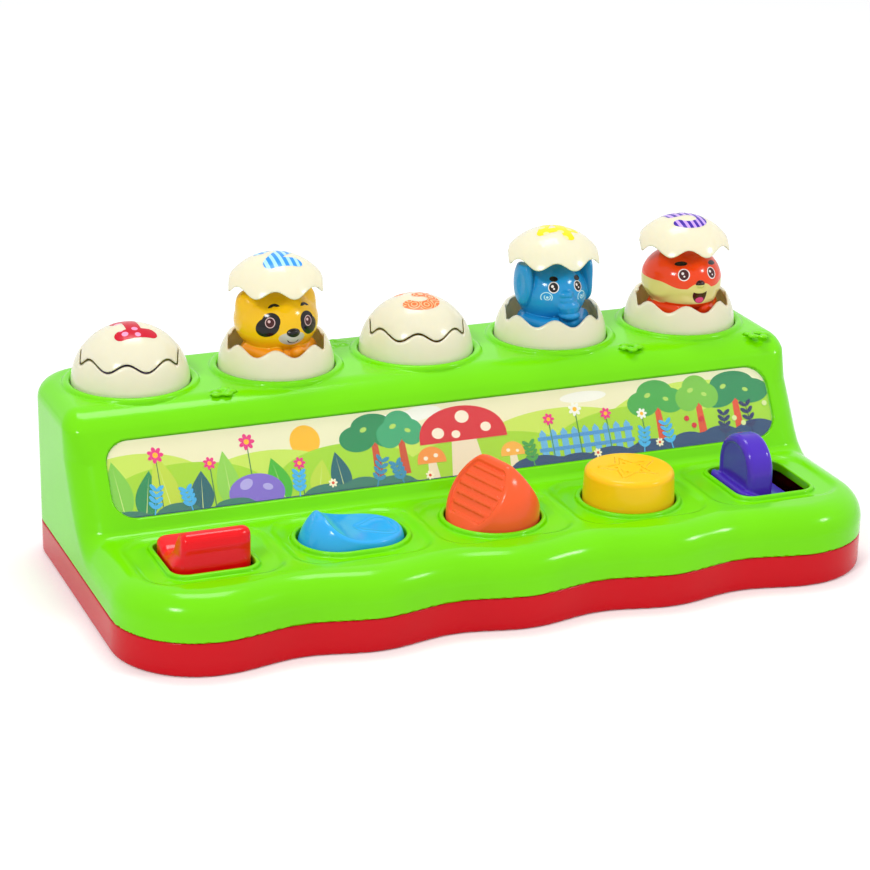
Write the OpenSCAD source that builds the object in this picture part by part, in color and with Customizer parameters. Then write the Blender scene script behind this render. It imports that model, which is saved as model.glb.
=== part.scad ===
// Pop-up toy: five levers and buttons on a front ledge open five egg-shaped hatches on a rear deck.
// Millimetres, +Z up, +X to the right, front towards -Y; origin at the middle of the footprint, on the floor.

/* [Casing] */
// Length of the casing, left to right
body_l = 330; // [300:1:380]
// Depth of the casing, front to back
body_d = 163; // [155:1:190]
// Height of the upper deck
deck_h = 77; // [74:0.5:90]
// Height of the front ledge
ledge_h = 32.5; // [31:0.5:38]
// Height of the joint between tray and housing
seam_h = 14.5; // [12:0.5:17]
// Wall of the housing and tray
wall = 2.2; // [1.8:0.1:3]
// Floor of the tray
floor_t = 2.4; // [2:0.1:4]
// Plan radius of the front corners
front_r = 36; // [28:1:44]
// Plan radius of the rear corners
rear_r = 22; // [16:1:30]
// Depth of the scallops along the front
wave_d = 4.9; // [2:0.1:7]
// Rounding of the ledge's top edge
ledge_round = 12; // [8:0.5:13]
// Rounding of the deck's top edge
deck_round = 8; // [5:0.5:10]
// Slope of the picture panel, from level
panel_slope = 59; // [50:1:70]

/* [Picture] */
// Length of the picture window
picture_l = 301; // [260:1:302]
// Height of the picture window along the slope
picture_w = 31.8; // [26:0.2:34]
// Corner radius of the picture window
picture_r = 9.6; // [4:0.2:12]
// Thickness of the printed card
card_t = 0.6; // [0.4:0.1:1]
// Thickness of the clear window
window_t = 0.8; // [0.6:0.1:1.2]

/* [Eggs] */
// Distance between neighbouring eggs
egg_pitch = 64; // [60:0.5:68]
// Radius of the egg dome
egg_r = 24.9; // [24:0.1:26]
// Wall of the egg shells
egg_wall = 1.6; // [1.2:0.1:2]
// Height of the shell's rear rim over the deck
rim_h = 14.5; // [13.5:0.1:15]
// Mean height of the cracked front edge
crack_h = 11.4; // [10.5:0.1:12]
// Half height of one crack tooth
tooth_h = 1.9; // [1:0.1:2.4]
// Gap between shell and cap when closed
crack_gap = 0.8; // [0.5:0.1:1.2]
// Turn of the cracked front about the egg's axis
crack_turn = -19; // [-25:1:0]
// Rise of a figure between closed and popped up
travel = 24.6; // [20:0.1:26]

/* [Controls] */
// Distance between neighbouring controls
control_pitch = 62; // [60:0.5:66]
// Side of the two square openings, left to right
slot_w = 34; // [30:0.5:36]
// Side of the two square openings, front to back
slot_d = 36; // [32:0.5:38]
// Radius of the turning knob and the push button
knob_r = 19.4; // [17:0.1:21]
// Gap between a control and its opening
control_gap = 0.7; // [0.5:0.1:1.2]
// Radius of the hinge pins
pin_r = 1.5; // [1.2:0.1:2]
// Radial clearance of pins in their bores
pin_gap = 0.05; // [0.02:0.01:0.1]

/* [Mechanism] */
// Radius of the lift carriers
carrier_r = 20.7; // [20:0.1:21]
// Sliding clearance of the carriers in their tubes
slide_gap = 0.3; // [0.25:0.05:0.4]
// Wall of the guide tubes
tube_wall = 1.8; // [1.4:0.1:2.2]
// Radius of the latch axle
axle_r = 2; // [1.5:0.1:2.5]
// Wire radius of the pop-up springs
spring_wire = 0.6; // [0.4:0.1:0.8]
// Mean radius of the pop-up springs
spring_r = 10; // [9:0.5:12]
// Curls of each pop-up spring
spring_turns = 5; // [4:1:8]
// Radius of a casing screw's shank
screw_r = 1.4; // [1.2:0.1:1.7]

/* [Hidden] */
$fn = 64;

cut = 1; // overrun of a cutter past the face it opens
half_l = body_l / 2;
y_front = -body_d / 2;
y_back = body_d / 2;
egg_y = y_back - 31.4;
control_y = y_front + 43.8;
panel_foot_y = egg_y - 59.3; // where the panel's plane meets the ledge
panel_run = 1 / tan(panel_slope); // how far the panel leans back for each unit of height
stations = [0, 1, 2, 3, 4];
popped = [false, true, false, true, true];

function egg_x(i) = (i - 2) * egg_pitch;
function control_x(i) = (i - 2) * control_pitch;
function lift(i) = popped[i] ? travel : 0;
function panel_y(z) = panel_foot_y + (z - ledge_h) * panel_run;

// ---- plan outlines and lofts ----

// Points of an arc about c from angle a0 to a1 in n steps.
function arc(c, r, a0, a1, n) = [for (k = [0:n]) c + r * [cos(a0 + (a1 - a0) * k / n), sin(a0 + (a1 - a0) * k / n)]];
function scallop(x) = abs(x) < 2 * egg_pitch ? wave_d * (1 - cos(360 * x / egg_pitch)) / 2 : 0;
front_steps = 48;
// Plan of the whole casing, drawn in by i, with the scalloped front.
function casing_plan(i) = concat(
    arc([half_l - rear_r, y_back - rear_r], rear_r - i, 0, 90, 7),
    arc([-half_l + rear_r, y_back - rear_r], rear_r - i, 90, 180, 7),
    arc([-half_l + front_r, y_front + front_r], front_r - i, 180, 264, 9),
    [for (k = [1:front_steps - 1])
        let (x = (half_l - front_r) * (2 * k / front_steps - 1)) [x, y_front + i + scallop(x)]],
    arc([half_l - front_r, y_front + front_r], front_r - i, 276, 360, 9));
// Plan of the upper block, drawn in by i, with its front at y.
upper_r = 13; // plan radius where the panel meets the side walls
function upper_plan(i, y) = concat(
    arc([half_l - rear_r, y_back - rear_r], rear_r - i, 0, 90, 7),
    arc([-half_l + rear_r, y_back - rear_r], rear_r - i, 90, 180, 7),
    arc([-half_l + upper_r, y + upper_r], upper_r - i, 180, 270, 7),
    arc([half_l - upper_r, y + upper_r], upper_r - i, 270, 360, 7));
// Solid through equal rings of plan points, each at its height.
module loft(rings, heights) {
    n = len(rings[0]);
    m = len(rings);
    points = [for (k = [0:m - 1]) for (p = rings[k]) [p[0], p[1], heights[k]]];
    sides = [for (k = [0:m - 2]) for (j = [0:n - 1]) let (a = k * n + j, b = k * n + (j + 1) % n)
        each [[a, a + n, b], [b, a + n, b + n]]];
    low_cap = [for (j = [0:n - 1]) j];
    top_cap = [for (j = [n - 1:-1:0]) (m - 1) * n + j];
    polyhedron(points, concat(sides, [low_cap, top_cap]));
}
// Quarter-round of radius r in n steps: how far in, and how far up, at step k.
function round_in(r, k, n) = r * (1 - cos(90 * k / n));
function round_up(r, k, n) = r * sin(90 * k / n);
// The ledge slab: full plan, with its top edge rounded over in n steps.
module ledge_slab(i, bottom, n) {
    r = ledge_round - i;
    top = ledge_h - i;
    loft(concat([casing_plan(i)], [for (k = [0:n]) casing_plan(i + round_in(r, k, n))]),
        concat([bottom], [for (k = [0:n]) top - r + round_up(r, k, n)]));
}
// The upper block: leaning front panel of wall p, and a rounded top edge.
module upper_block(i, p, bottom, n) {
    r = deck_round - i;
    top = deck_h - i;
    neck = ledge_h - ledge_round;
    back = p / sin(panel_slope);
    loft(concat([upper_plan(i + 1, panel_y(bottom) + back), upper_plan(i + 1, panel_y(neck - 3) + back)],
            [upper_plan(i, panel_y(neck + 1.5) + back)],
            [for (k = [0:n])
                upper_plan(i + round_in(r, k, n), panel_y(top - r + round_up(r, k, n)) + back)]),
        concat([bottom, neck - 3, neck + 1.5], [for (k = [0:n]) top - r + round_up(r, k, n)]));
}
// Rounded rectangle made of true circles.
module rounded(w, d, r) {
    square([w - 2 * r, d], center = true);
    square([w, d - 2 * r], center = true);
    for (x = [-1, 1]) for (y = [-1, 1]) translate([x * (w / 2 - r), y * (d / 2 - r)]) circle(r = r);
}
module rounded_block(w, d, r, h) {
    linear_extrude(h) rounded(w, d, r);
}

// ---- shared places ----

screw_spots = concat([for (s = [-1.5, -0.5, 0.5, 1.5]) [s * egg_pitch, y_back - 11.5]],
    [for (s = [-1.5, -0.5, 0.5, 1.5]) [s * control_pitch, y_front + 16]]);
screw_boss_r = 4;
frame_spots = [for (s = [-1.5, -0.5, 0.5, 1.5]) [s * egg_pitch, egg_y]];
neck_h = 2.2; // straight part of an egg shell, inside the deck's hole
flange_t = 1.6; // shell flange, held between deck and guide frame
flange_r = egg_r + 2.6;
frame_top = deck_h - wall - flange_t - 0.2;
frame_t = 2.2;
tube_low = 28;
carrier_top = 43; // top of a carrier when its egg is closed
carrier_h = 12;
plate_t = 3;
axle_y = egg_y - 36.9;
axle_z = 24;
pad_z = 20; // top of a latch's nib, under its control
foot_gap = 0.4; // between a nib and the foot over it
pad_offset = [0, -16, 12.6, 12.6, 3]; // nib beside each control's centre, left to right
lug_z = 37; // top of the catch lug when the egg is closed
lug_w = 6;
lug_out = egg_y - carrier_r - 5.2;
slot_r = 6;
pin_reach = 19.5; // half length of the rocker's and the lever's hinge pin
bar_pin_reach = 21.2;
bar_pin_y = control_y + 14;
bar_pin_z = 25.5;
rocker_pin_z = 26;
lever_x = control_x(4) - 6.5;
lever_pin_z = 17;
post_t = 3;
stem_r = 5;
socket_h = 11;

module pin_bore(at, axis, l) {
    translate(at) rotate(axis) cylinder(r = pin_r + pin_gap, h = l, center = true);
}

// ---- casing ----

// Red tray: floor with a foot rim, wall with a locating tongue, posts that carry the axle and pins.
module base_tray() {
    tongue_t = 1.2;
    tongue_h = 2;
    fit = 0.2;
    rim_w = 5;
    rim_t = 1.2;
    color("crimson") difference() {
        union() {
            difference() {
                linear_extrude(seam_h) polygon(casing_plan(0));
                translate([0, 0, rim_t + floor_t]) linear_extrude(seam_h) polygon(casing_plan(wall));
                translate([0, 0, -cut]) linear_extrude(rim_t + cut) polygon(casing_plan(rim_w));
            }
            translate([0, 0, seam_h - tongue_h]) linear_extrude(2 * tongue_h) difference() {
                polygon(casing_plan(wall - tongue_t / 4));
                polygon(casing_plan(wall + tongue_t));
            }
            for (p = screw_spots) translate([p[0], p[1], rim_t]) cylinder(r = screw_boss_r, h = seam_h - rim_t);
            axle_posts();
            control_posts();
            for (i = [2, 3]) translate([control_x(i), control_y, rim_t]) cylinder(r = stem_r + 3, h = socket_h);
            for (i = stations) translate([egg_x(i), egg_y, rim_t]) cylinder(r = spring_r - 2, h = floor_t + 8);
        }
        difference() {
            translate([0, 0, seam_h]) linear_extrude(3 * tongue_h) polygon(casing_plan(-1));
            translate([0, 0, seam_h - cut]) linear_extrude(4 * tongue_h) polygon(casing_plan(wall + fit));
        }
        for (p = screw_spots) translate([p[0], p[1], 0]) {
            translate([0, 0, -cut]) cylinder(r = screw_r + 0.3, h = seam_h + 2 * cut);
            translate([0, 0, -cut]) cylinder(r = 3.2, h = 8 + cut);
        }
        for (i = [2, 3]) translate([control_x(i), control_y, rim_t + floor_t])
            cylinder(r = stem_r + 2 * pin_gap, h = socket_h);
        translate([0, axle_y, axle_z]) rotate([0, 90, 0]) cylinder(r = axle_r + pin_gap, h = body_l, center = true);
        pin_bore([control_x(0), bar_pin_y, bar_pin_z], [0, 90, 0], 60);
        pin_bore([control_x(1), control_y, rocker_pin_z], [90, 0, 0], 60);
        pin_bore([lever_x, control_y, lever_pin_z], [90, 0, 0], 60);
    }
}

// Six webs across the tray carry the latch axle.
module axle_posts() {
    for (s = [-2.4, -1.5, -0.5, 0.5, 1.5, 2.4]) translate([s * egg_pitch, axle_y, floor_t])
        translate([-post_t / 2, -5, 0]) cube([post_t, 10, axle_z + 5 - floor_t]);
}

// Pairs of posts carry the hinge pins of the press bar, the rocker and the flip lever.
module control_posts() {
    for (s = [-1, 1]) {
        translate([control_x(0) + s * (bar_pin_reach - 1.8) - post_t / 2, bar_pin_y - 4, floor_t])
            cube([post_t, 8, bar_pin_z + 3.5 - floor_t]);
        translate([control_x(1) - 4, control_y + s * (pin_reach - 1.2) - post_t / 2, floor_t])
            cube([8, post_t, rocker_pin_z + 3.5 - floor_t]);
        translate([lever_x - 4, control_y + s * (pin_reach - 1.2) - post_t / 2, floor_t])
            cube([8, post_t, lever_pin_z + 3.5 - floor_t]);
    }
}

// Green stepped housing: rounded deck and ledge, leaning picture panel, egg rings and control openings.
module upper_housing() {
    panel_wall = 3.6;
    color("limegreen") difference() {
        union() {
            difference() {
                union() {
                    ledge_slab(0, seam_h, 5);
                    upper_block(0, 0, seam_h + 2, 5);
                    for (i = stations) egg_ring(i);
                }
                ledge_slab(wall, seam_h - cut, 2);
                upper_block(wall, panel_wall, seam_h - cut / 2, 2);
                for (i = stations) control_pocket(i);
            }
            for (i = stations) control_lip(i);
            for (p = screw_spots) translate([p[0], p[1], seam_h])
                cylinder(r = screw_boss_r, h = (p[1] > 0 ? deck_h : ledge_h) - seam_h - wall / 2, $fn = 16);
            for (p = frame_spots) translate([p[0], p[1], frame_top])
                cylinder(r = 3.5, h = deck_h - wall / 2 - frame_top, $fn = 16);
        }
        for (i = stations) translate([egg_x(i), egg_y, deck_h - 6]) cylinder(r = egg_r + 0.3, h = 12, $fn = 44);
        for (i = stations) control_opening(i, 0, ledge_h - wall - 3, 10);
        picture_place(-card_t - window_t - 0.4) rounded_block(picture_l + 0.6, picture_w + 0.6, picture_r + 0.3, 8);
        for (p = screw_spots) translate([p[0], p[1], seam_h - cut]) cylinder(r = screw_r, h = 12, $fn = 16);
        for (p = frame_spots) translate([p[0], p[1], frame_top - cut]) cylinder(r = 1.1, h = 2.6 + cut, $fn = 16);
    }
}

// Puts its children on the panel, z outwards, at h from the panel's plane.
module picture_place(h) {
    mid_z = 52.25;
    translate([0, panel_y(mid_z), mid_z]) rotate([panel_slope, 0, 0]) translate([0, 0, h]) children();
}

// Raised rounded ring in the deck round an egg.
module egg_ring(i) {
    lip_r = 1.7;
    translate([egg_x(i), egg_y, deck_h]) rotate_extrude($fn = 44) translate([egg_r + lip_r + 0.1, 0.1])
        rotate(22.5) circle(r = lip_r, $fn = 8);
}

// Outline of a control's opening, grown by g.
module opening_outline(i, g) {
    if (i == 0 || i == 4) rounded(slot_w + 2 * g, slot_d + 2 * g, slot_r + g, $fn = 24);
    if (i == 1) rounded(45 + 2 * g, slot_d - 2 + 2 * g, 16.5 + g, $fn = 40);
    if (i == 2 || i == 3) circle(r = knob_r + control_gap + g, $fn = 40);
}
module control_opening(i, g, z, h) {
    translate([control_x(i), control_y, z]) linear_extrude(h) opening_outline(i, g);
}
// Shallow dish in the ledge round a control.
module control_pocket(i) {
    dish_w = 57;
    dish_d = 47;
    dish_t = 1;
    r = 12;
    translate([control_x(i), control_y, ledge_h]) hull() {
        translate([0, 0, -dish_t]) linear_extrude(0.1) rounded(dish_w - 5, dish_d - 5, r - 2, $fn = 24);
        translate([0, 0, cut]) linear_extrude(0.1) rounded(dish_w + 1, dish_d + 1, r + 1, $fn = 24);
    }
}
// Raised lip round a control's opening, on a short collar.
module control_lip(i) {
    hull() {
        control_opening(i, 2.2, ledge_h - wall, wall);
        control_opening(i, 1.4, ledge_h - wall, wall + 0.8);
    }
}

// Printed card behind the clear window.
module picture_card() {
    color("khaki") picture_place(-card_t - window_t - 0.3) rounded_block(picture_l, picture_w, picture_r, card_t);
}
module picture_window() {
    color("white", 0.35) picture_place(-window_t - 0.3) rounded_block(picture_l, picture_w, picture_r, window_t);
}

// ---- eggs ----

window_a = 66; // half width of the cracked front, as an angle
tooth_a = 44; // one tooth, as an angle
crack_steps = 24;
rim_ball_r = sqrt(egg_r * egg_r - crack_h * crack_h);
function crack_z(a) = crack_h + tooth_h * cos(360 * a / tooth_a);
// The crack seen from the front, raised by dz: level at the rear, toothed between the ends.
function crack_line(dz) = concat([[-40, rim_h + dz], [-rim_ball_r * sin(window_a), rim_h + dz]],
    [for (k = [0:crack_steps]) let (a = window_a * (2 * k / crack_steps - 1))
        [rim_ball_r * sin(a), crack_z(a) + dz]],
    [[rim_ball_r * sin(window_a), rim_h + dz], [40, rim_h + dz]]);
// Everything in front that lies above or below the crack.
module crack_side(dz, z_far) {
    rotate([90, 0, 0]) linear_extrude(40) polygon(concat(crack_line(dz), [[40, z_far], [-40, z_far]]));
}
module at_egg(i) {
    translate([egg_x(i), egg_y, deck_h]) rotate([0, 0, crack_turn]) children();
}

// Fixed lower shell with a flange under the deck, cut back in front and behind.
module egg_shell(i) {
    low = neck_h + flange_t;
    flange_front = 21.3;
    flange_back = 23;
    color("cornsilk") at_egg(i) difference() {
        union() {
            intersection() {
                sphere(r = egg_r);
                cylinder(r = 40, h = rim_h);
            }
            translate([0, 0, -low]) cylinder(r = egg_r, h = low);
            translate([0, 0, -low]) intersection() {
                cylinder(r = flange_r, h = flange_t - 0.1);
                rotate([0, 0, -crack_turn]) translate([-30, -flange_front, -cut])
                    cube([60, flange_front + flange_back, flange_t + 2 * cut]);
            }
        }
        sphere(r = egg_r - egg_wall);
        translate([0, 0, -low - cut]) cylinder(r = egg_r - egg_wall, h = low + cut);
        crack_side(0, 40);
    }
}

// Cap on the figure's head, with a boss inside that stands on the crown.
module egg_cap(i) {
    boss_r = 6;
    color("cornsilk") translate([0, 0, lift(i)]) at_egg(i) {
        difference() {
            intersection() {
                sphere(r = egg_r);
                translate([0, 0, crack_h - 5]) cylinder(r = 40, h = 40);
            }
            sphere(r = egg_r - egg_wall);
            crack_side(crack_gap, 0);
            translate([-40, 0, 0]) cube([80, 40, rim_h + crack_gap]);
        }
        translate([0, 0, crown_z]) cylinder(r = boss_r, h = egg_r - egg_wall / 2 - crown_z);
    }
}

// ---- figures ----

head_z = -4.2; // head centre from the deck when closed
head_w = 18;
head_h = 15;
crown_z = head_z + head_h - 0.6;
foot_z = carrier_top - deck_h;

// Half profile of an egg-shaped solid of revolution.
function oval(w, up, down) = [for (k = [0:16]) let (a = -90 + k * 11.25) [w * cos(a), sin(a) * (a > 0 ? up : down)]];
module oval_solid(w, up, down) {
    rotate_extrude() polygon(oval(w, up, down));
}
module capsule(a, b, r) {
    d = b - a;
    l = norm(d);
    translate(a) rotate([0, acos(d[2] / l), atan2(d[1], d[0])]) union() {
        cylinder(r = r, h = l, $fn = 32);
        sphere(r = r, $fn = 32);
        translate([0, 0, l]) sphere(r = r, $fn = 32);
    }
}
// Body, arms and a head of half width w that every figure shares; its own features are the children.
module figure(i, tint, w) {
    shoulder_z = -21;
    color(tint) translate([egg_x(i), egg_y, deck_h + lift(i)]) {
        difference() {
            union() {
                translate([0, 0, head_z]) oval_solid(w, head_h, head_h);
                translate([0, 0, foot_z]) cylinder(r = 15.5, h = shoulder_z - foot_z);
                translate([0, 0, shoulder_z]) oval_solid(15.5, 7, 4);
                for (s = [-1, 1]) capsule([s * 12, -2, shoulder_z + 1], [s * 7, -12.5, shoulder_z], 3.6);
                children();
            }
            translate([-30, -30, crown_z]) cube([60, 60, 30]);
        }
    }
}
// Point on the head at turn a from the front and height h over its centre.
function on_head(a, h) = let (r = head_w * sqrt(1 - h * h / (head_h * head_h)))
    [r * sin(a), -r * cos(a), head_z + h];
module feature(a, h, sink, r) {
    p = on_head(a, h);
    translate([p[0] * (1 - sink / head_w), p[1] * (1 - sink / head_w), p[2]]) sphere(r = r, $fn = 32);
}

module hippo_figure() {
    figure(0, "mediumpurple", head_w) {
        translate([0, -6.2, head_z - 5]) oval_solid(11.6, 6.5, 6.5);
        for (s = [-1, 1]) feature(s * 14, 3, 1, 1.6);
        for (s = [-1, 1]) feature(s * 55, 8, 1, 3);
    }
}
module panda_figure() {
    figure(1, "gold", head_w) {
        feature(0, -5, 3.6, 4.2);
        for (s = [-1, 1]) feature(s * 72, 8, 2, 3.4);
    }
}
module lion_figure() {
    figure(2, "goldenrod", 16.4) {
        feature(0, -5, 3.4, 4.2);
        for (k = [0:10]) let (a = 36 * k) translate([0, 0, head_z]) rotate([0, a, 0]) translate([0, -8, 13.2])
            rotate([90, 0, 0]) cylinder(r = 3.6, h = 4, center = true, $fn = 24);
    }
}
module elephant_figure() {
    figure(3, "deepskyblue", 15.6) {
        for (k = [0:5]) translate([0, -13.6 + 0.2 * k, head_z - 2 - 2.7 * k]) sphere(r = 3.9 - 0.1 * k, $fn = 32);
        for (s = [-1, 1]) intersection() {
            translate([s * 14.4, -5, head_z + 1.5]) rotate([0, 90, s * 14]) cylinder(r = 9.6, h = 3.2, center = true);
            translate([0, 0, head_z - 12]) cylinder(r = head_w - 0.2, h = 30);
        }
    }
}
module fox_figure() {
    figure(4, "orangered", head_w) {
        feature(0, -5, 4, 4.6);
        for (s = [-1, 1]) feature(s * 62, -4, 2.6, 3.2);
    }
}

// ---- lifting gear ----

// Frame under the deck: a plate with five guide tubes, each slotted for its latch.
module guide_frame() {
    plate_w = 4 * egg_pitch + 2 * carrier_r + 9;
    plate_d = 2 * carrier_r + 9;
    notch_r = screw_boss_r + 0.4;
    color("gainsboro") difference() {
        union() {
            translate([0, egg_y, frame_top - frame_t]) rounded_block(plate_w, plate_d, 20, frame_t);
            for (i = stations) translate([egg_x(i), egg_y, tube_low])
                cylinder(r = carrier_r + slide_gap + tube_wall, h = frame_top - tube_low);
        }
        for (i = stations) translate([egg_x(i), egg_y, 0]) {
            translate([0, 0, tube_low - cut]) cylinder(r = carrier_r + slide_gap, h = frame_top);
            translate([-lug_w / 2 - 0.6, -carrier_r - 8, tube_low - cut])
                cube([lug_w + 1.2, 12, lug_z + travel + 1.4 - tube_low + cut]);
        }
        for (p = frame_spots) translate([p[0], p[1], frame_top - 10]) cylinder(r = 1.7, h = 20);
        for (p = screw_spots) translate([p[0] - notch_r, p[1] - notch_r, frame_top - 10])
            cube([2 * notch_r, 20, 20]);
    }
}

// Cup that carries a figure up its tube, with a lug in front for the latch.
module lift_carrier(i) {
    cup_wall = 1.8;
    lug_h = 4;
    color("whitesmoke") translate([egg_x(i), egg_y, lift(i)]) {
        difference() {
            translate([0, 0, carrier_top - carrier_h]) cylinder(r = carrier_r, h = carrier_h);
            translate([0, 0, carrier_top - carrier_h - cut])
                cylinder(r = carrier_r - cup_wall, h = carrier_h - plate_t + cut);
        }
        translate([-lug_w / 2, lug_out - egg_y, lug_z - lug_h])
            cube([lug_w, egg_y - lug_out - carrier_r + cup_wall, lug_h]);
    }
}

// One unbroken wire: turns curls of radius r between heights z0 and z1, with its ends level.
module coil(r, wire, turns, z0, z1) {
    rings = 8;
    sides = 6;
    n = rings * turns;
    lo = z0 + wire;
    rise = z1 - z0 - 2 * wire;
    function height(t) = lo + rise * min(max((t * turns - 0.5) / (turns - 1), 0), 1);
    points = [for (k = [0:n]) let (a = 360 * k / rings, z = height(k / n)) for (j = [0:sides - 1])
        let (b = 360 * j / sides, d = r + wire * cos(b)) [d * cos(a), d * sin(a), z + wire * sin(b)]];
    sides_faces = [for (k = [0:n - 1]) for (j = [0:sides - 1])
        let (a = k * sides + j, b = k * sides + (j + 1) % sides) each [[a, b, a + sides], [b, b + sides, a + sides]]];
    polyhedron(points, concat(sides_faces,
        [[for (j = [sides - 1:-1:0]) j]], [[for (j = [0:sides - 1]) n * sides + j]]));
}
spring_low = 3.7; // the tray's floor, where the springs stand
module pop_spring(i) {
    color("silver") translate([egg_x(i), egg_y, 0])
        coil(spring_r, spring_wire, spring_turns, spring_low, carrier_top - plate_t - 0.2 + lift(i));
}

// ---- latches ----

arm_low = 12.6;
arm_top = 15.4;
pad_half = 4;
nib_half = [4, 4, 0.6, 4, 4]; // half depth of each nib; the knob's ramp needs a narrow one
function pad_x(i) = control_x(i) + pad_offset[i];

// Latch: hook beside the carrier's lug, hub on the axle, and an arm forward to the nib under the control.
module latch(i) {
    t = 4;
    hub_r = 4.6;
    nose = lug_out - slide_gap;
    hook_x = egg_x(i);
    left = min(hook_x, pad_x(i)) - t / 2;
    right = max(hook_x, pad_x(i)) + t / 2;
    color("orange") difference() {
        union() {
            translate([left, axle_y, axle_z]) rotate([0, 90, 0]) cylinder(r = hub_r, h = right - left);
            translate([hook_x - t / 2, 0, 0]) rotate([90, 0, 90]) linear_extrude(t) polygon([
                [axle_y - 3, axle_z], [axle_y + 3.5, axle_z], [nose - 2.2, lug_z - 4], [nose - 1.4, lug_z + 0.4],
                [nose, lug_z + 0.4], [nose, lug_z + 1.8], [nose - 2, lug_z + 4], [nose - 6, lug_z + 3]]);
            translate([pad_x(i) - t / 2, 0, 0]) rotate([90, 0, 90]) linear_extrude(t) polygon([
                [axle_y, axle_z + 3], [axle_y - 5, axle_z], [control_y + 19, arm_top],
                [control_y - pad_half, arm_top], [control_y - pad_half, arm_low], [control_y + 17, arm_low],
                [axle_y - 2, axle_z - 4.4]]);
            translate([pad_x(i) - pad_half, control_y - pad_half, arm_low])
                cube([2 * pad_half, 2 * pad_half, arm_top - arm_low]);
            translate([pad_x(i) - t / 2, control_y - nib_half[i], arm_low])
                cube([t, 2 * nib_half[i], pad_z - arm_low]);
        }
        translate([0, axle_y, axle_z]) rotate([0, 90, 0]) cylinder(r = axle_r + pin_gap, h = body_l, center = true);
    }
}
module latch_axle() {
    l = 5 * egg_pitch - 8;
    color("silver") translate([0, axle_y, axle_z]) rotate([0, 90, 0]) cylinder(r = axle_r, h = l, center = true);
}
module latch_spring(i) {
    color("silver") translate([pad_x(i), control_y, 0]) coil(3.4, 0.4, 4, spring_low, arm_low - 0.2);
}

// ---- controls ----

// Red press bar: a grip bar along the front of a saddle, hinged behind.
module press_bar() {
    w = slot_w - 2 * control_gap;
    d = slot_d - 2 * control_gap - 1;
    bar_r = 4.6;
    bar_z = ledge_h + 9.6;
    front = control_y - d / 2 + 0.4;
    back = control_y + d / 2;
    color("red") difference() {
        union() {
            intersection() {
                translate([control_x(0) - w / 2, 0, 0]) rotate([90, 0, 90]) linear_extrude(w) union() {
                    polygon([[front, 27], [front + 2.6, bar_z], [front + 2.6 + 2 * bar_r, bar_z],
                        [front + 14.5, ledge_h + 4], [back - 12, ledge_h + 4.4], [back - 6.5, ledge_h + 7.4],
                        [back - 4.5, ledge_h + 7.4], [back - 0.4, ledge_h - 0.5], [back, 27]]);
                    translate([front + 2.6 + bar_r, bar_z]) circle(r = bar_r);
                }
                translate([control_x(0), control_y, 20]) rounded_block(w, d, 8, 40);
            }
            for (s = [-1, 1]) translate([control_x(0) + s * 11 - 2, bar_pin_y - 3.4, bar_pin_z - 3.4])
                cube([4, 6.8, 6]);
            translate([pad_x(0) - 3, control_y - 7, pad_z + foot_gap]) cube([6, 6, 8]);
        }
        translate([control_x(0), bar_pin_y, bar_pin_z]) rotate([0, 90, 0])
            cylinder(r = pin_r + pin_gap, h = 50, center = true);
    }
}
module press_bar_pin() {
    color("silver") translate([control_x(0), bar_pin_y, bar_pin_z]) rotate([0, 90, 0])
        cylinder(r = pin_r, h = 2 * bar_pin_reach, center = true);
}

// Blue rocker: turned about its pin so it fills the opening at any tilt, with a hump left and a dip right.
module tilt_rocker() {
    w = 45 - 2 * control_gap + 1.2;
    d = slot_d - 2 - 2 * control_gap;
    low = 25.5;
    r = w / 2;
    peak_a = 56; // turn of the peak about the pin
    dip_z = ledge_h + 2.6;
    peak = [-r * cos(peak_a), rocker_pin_z + r * sin(peak_a) - 0.6];
    dip_x = 7;
    color("dodgerblue") translate([control_x(1), control_y, 0]) difference() {
        union() {
            intersection() {
                translate([0, 0, rocker_pin_z]) rotate([90, 0, 0]) rotate_extrude() intersection() {
                    rounded(w, d, 15.8);
                    translate([0, -d / 2]) square([w, d]);
                }
                translate([0, d / 2 + cut, 0]) rotate([90, 0, 0]) linear_extrude(d + 2 * cut) polygon(concat(
                    [[-30, low], [-30, peak[1] - 9], peak],
                    [for (k = [1:8]) let (a = 90 * k / 8)
                        [peak[0] + (dip_x - peak[0]) * (1 - cos(a)), dip_z + (peak[1] - dip_z) * (1 - sin(a))]],
                    [[30, dip_z - 0.5], [30, low]]));
            }
            for (s = [-1, 1]) translate([-4, s * 11 - 2, rocker_pin_z - 3.4]) cube([8, 4, 6]);
            translate([pad_offset[1] - 3, -3, pad_z + foot_gap]) cube([6, 6, 8]);
        }
        translate([0, 0, rocker_pin_z]) rotate([90, 0, 0]) cylinder(r = pin_r + pin_gap, h = 60, center = true);
    }
}
module rocker_pin() {
    color("silver") translate([control_x(1), control_y, rocker_pin_z]) rotate([90, 0, 0])
        cylinder(r = pin_r, h = 2 * pin_reach, center = true);
}

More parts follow.
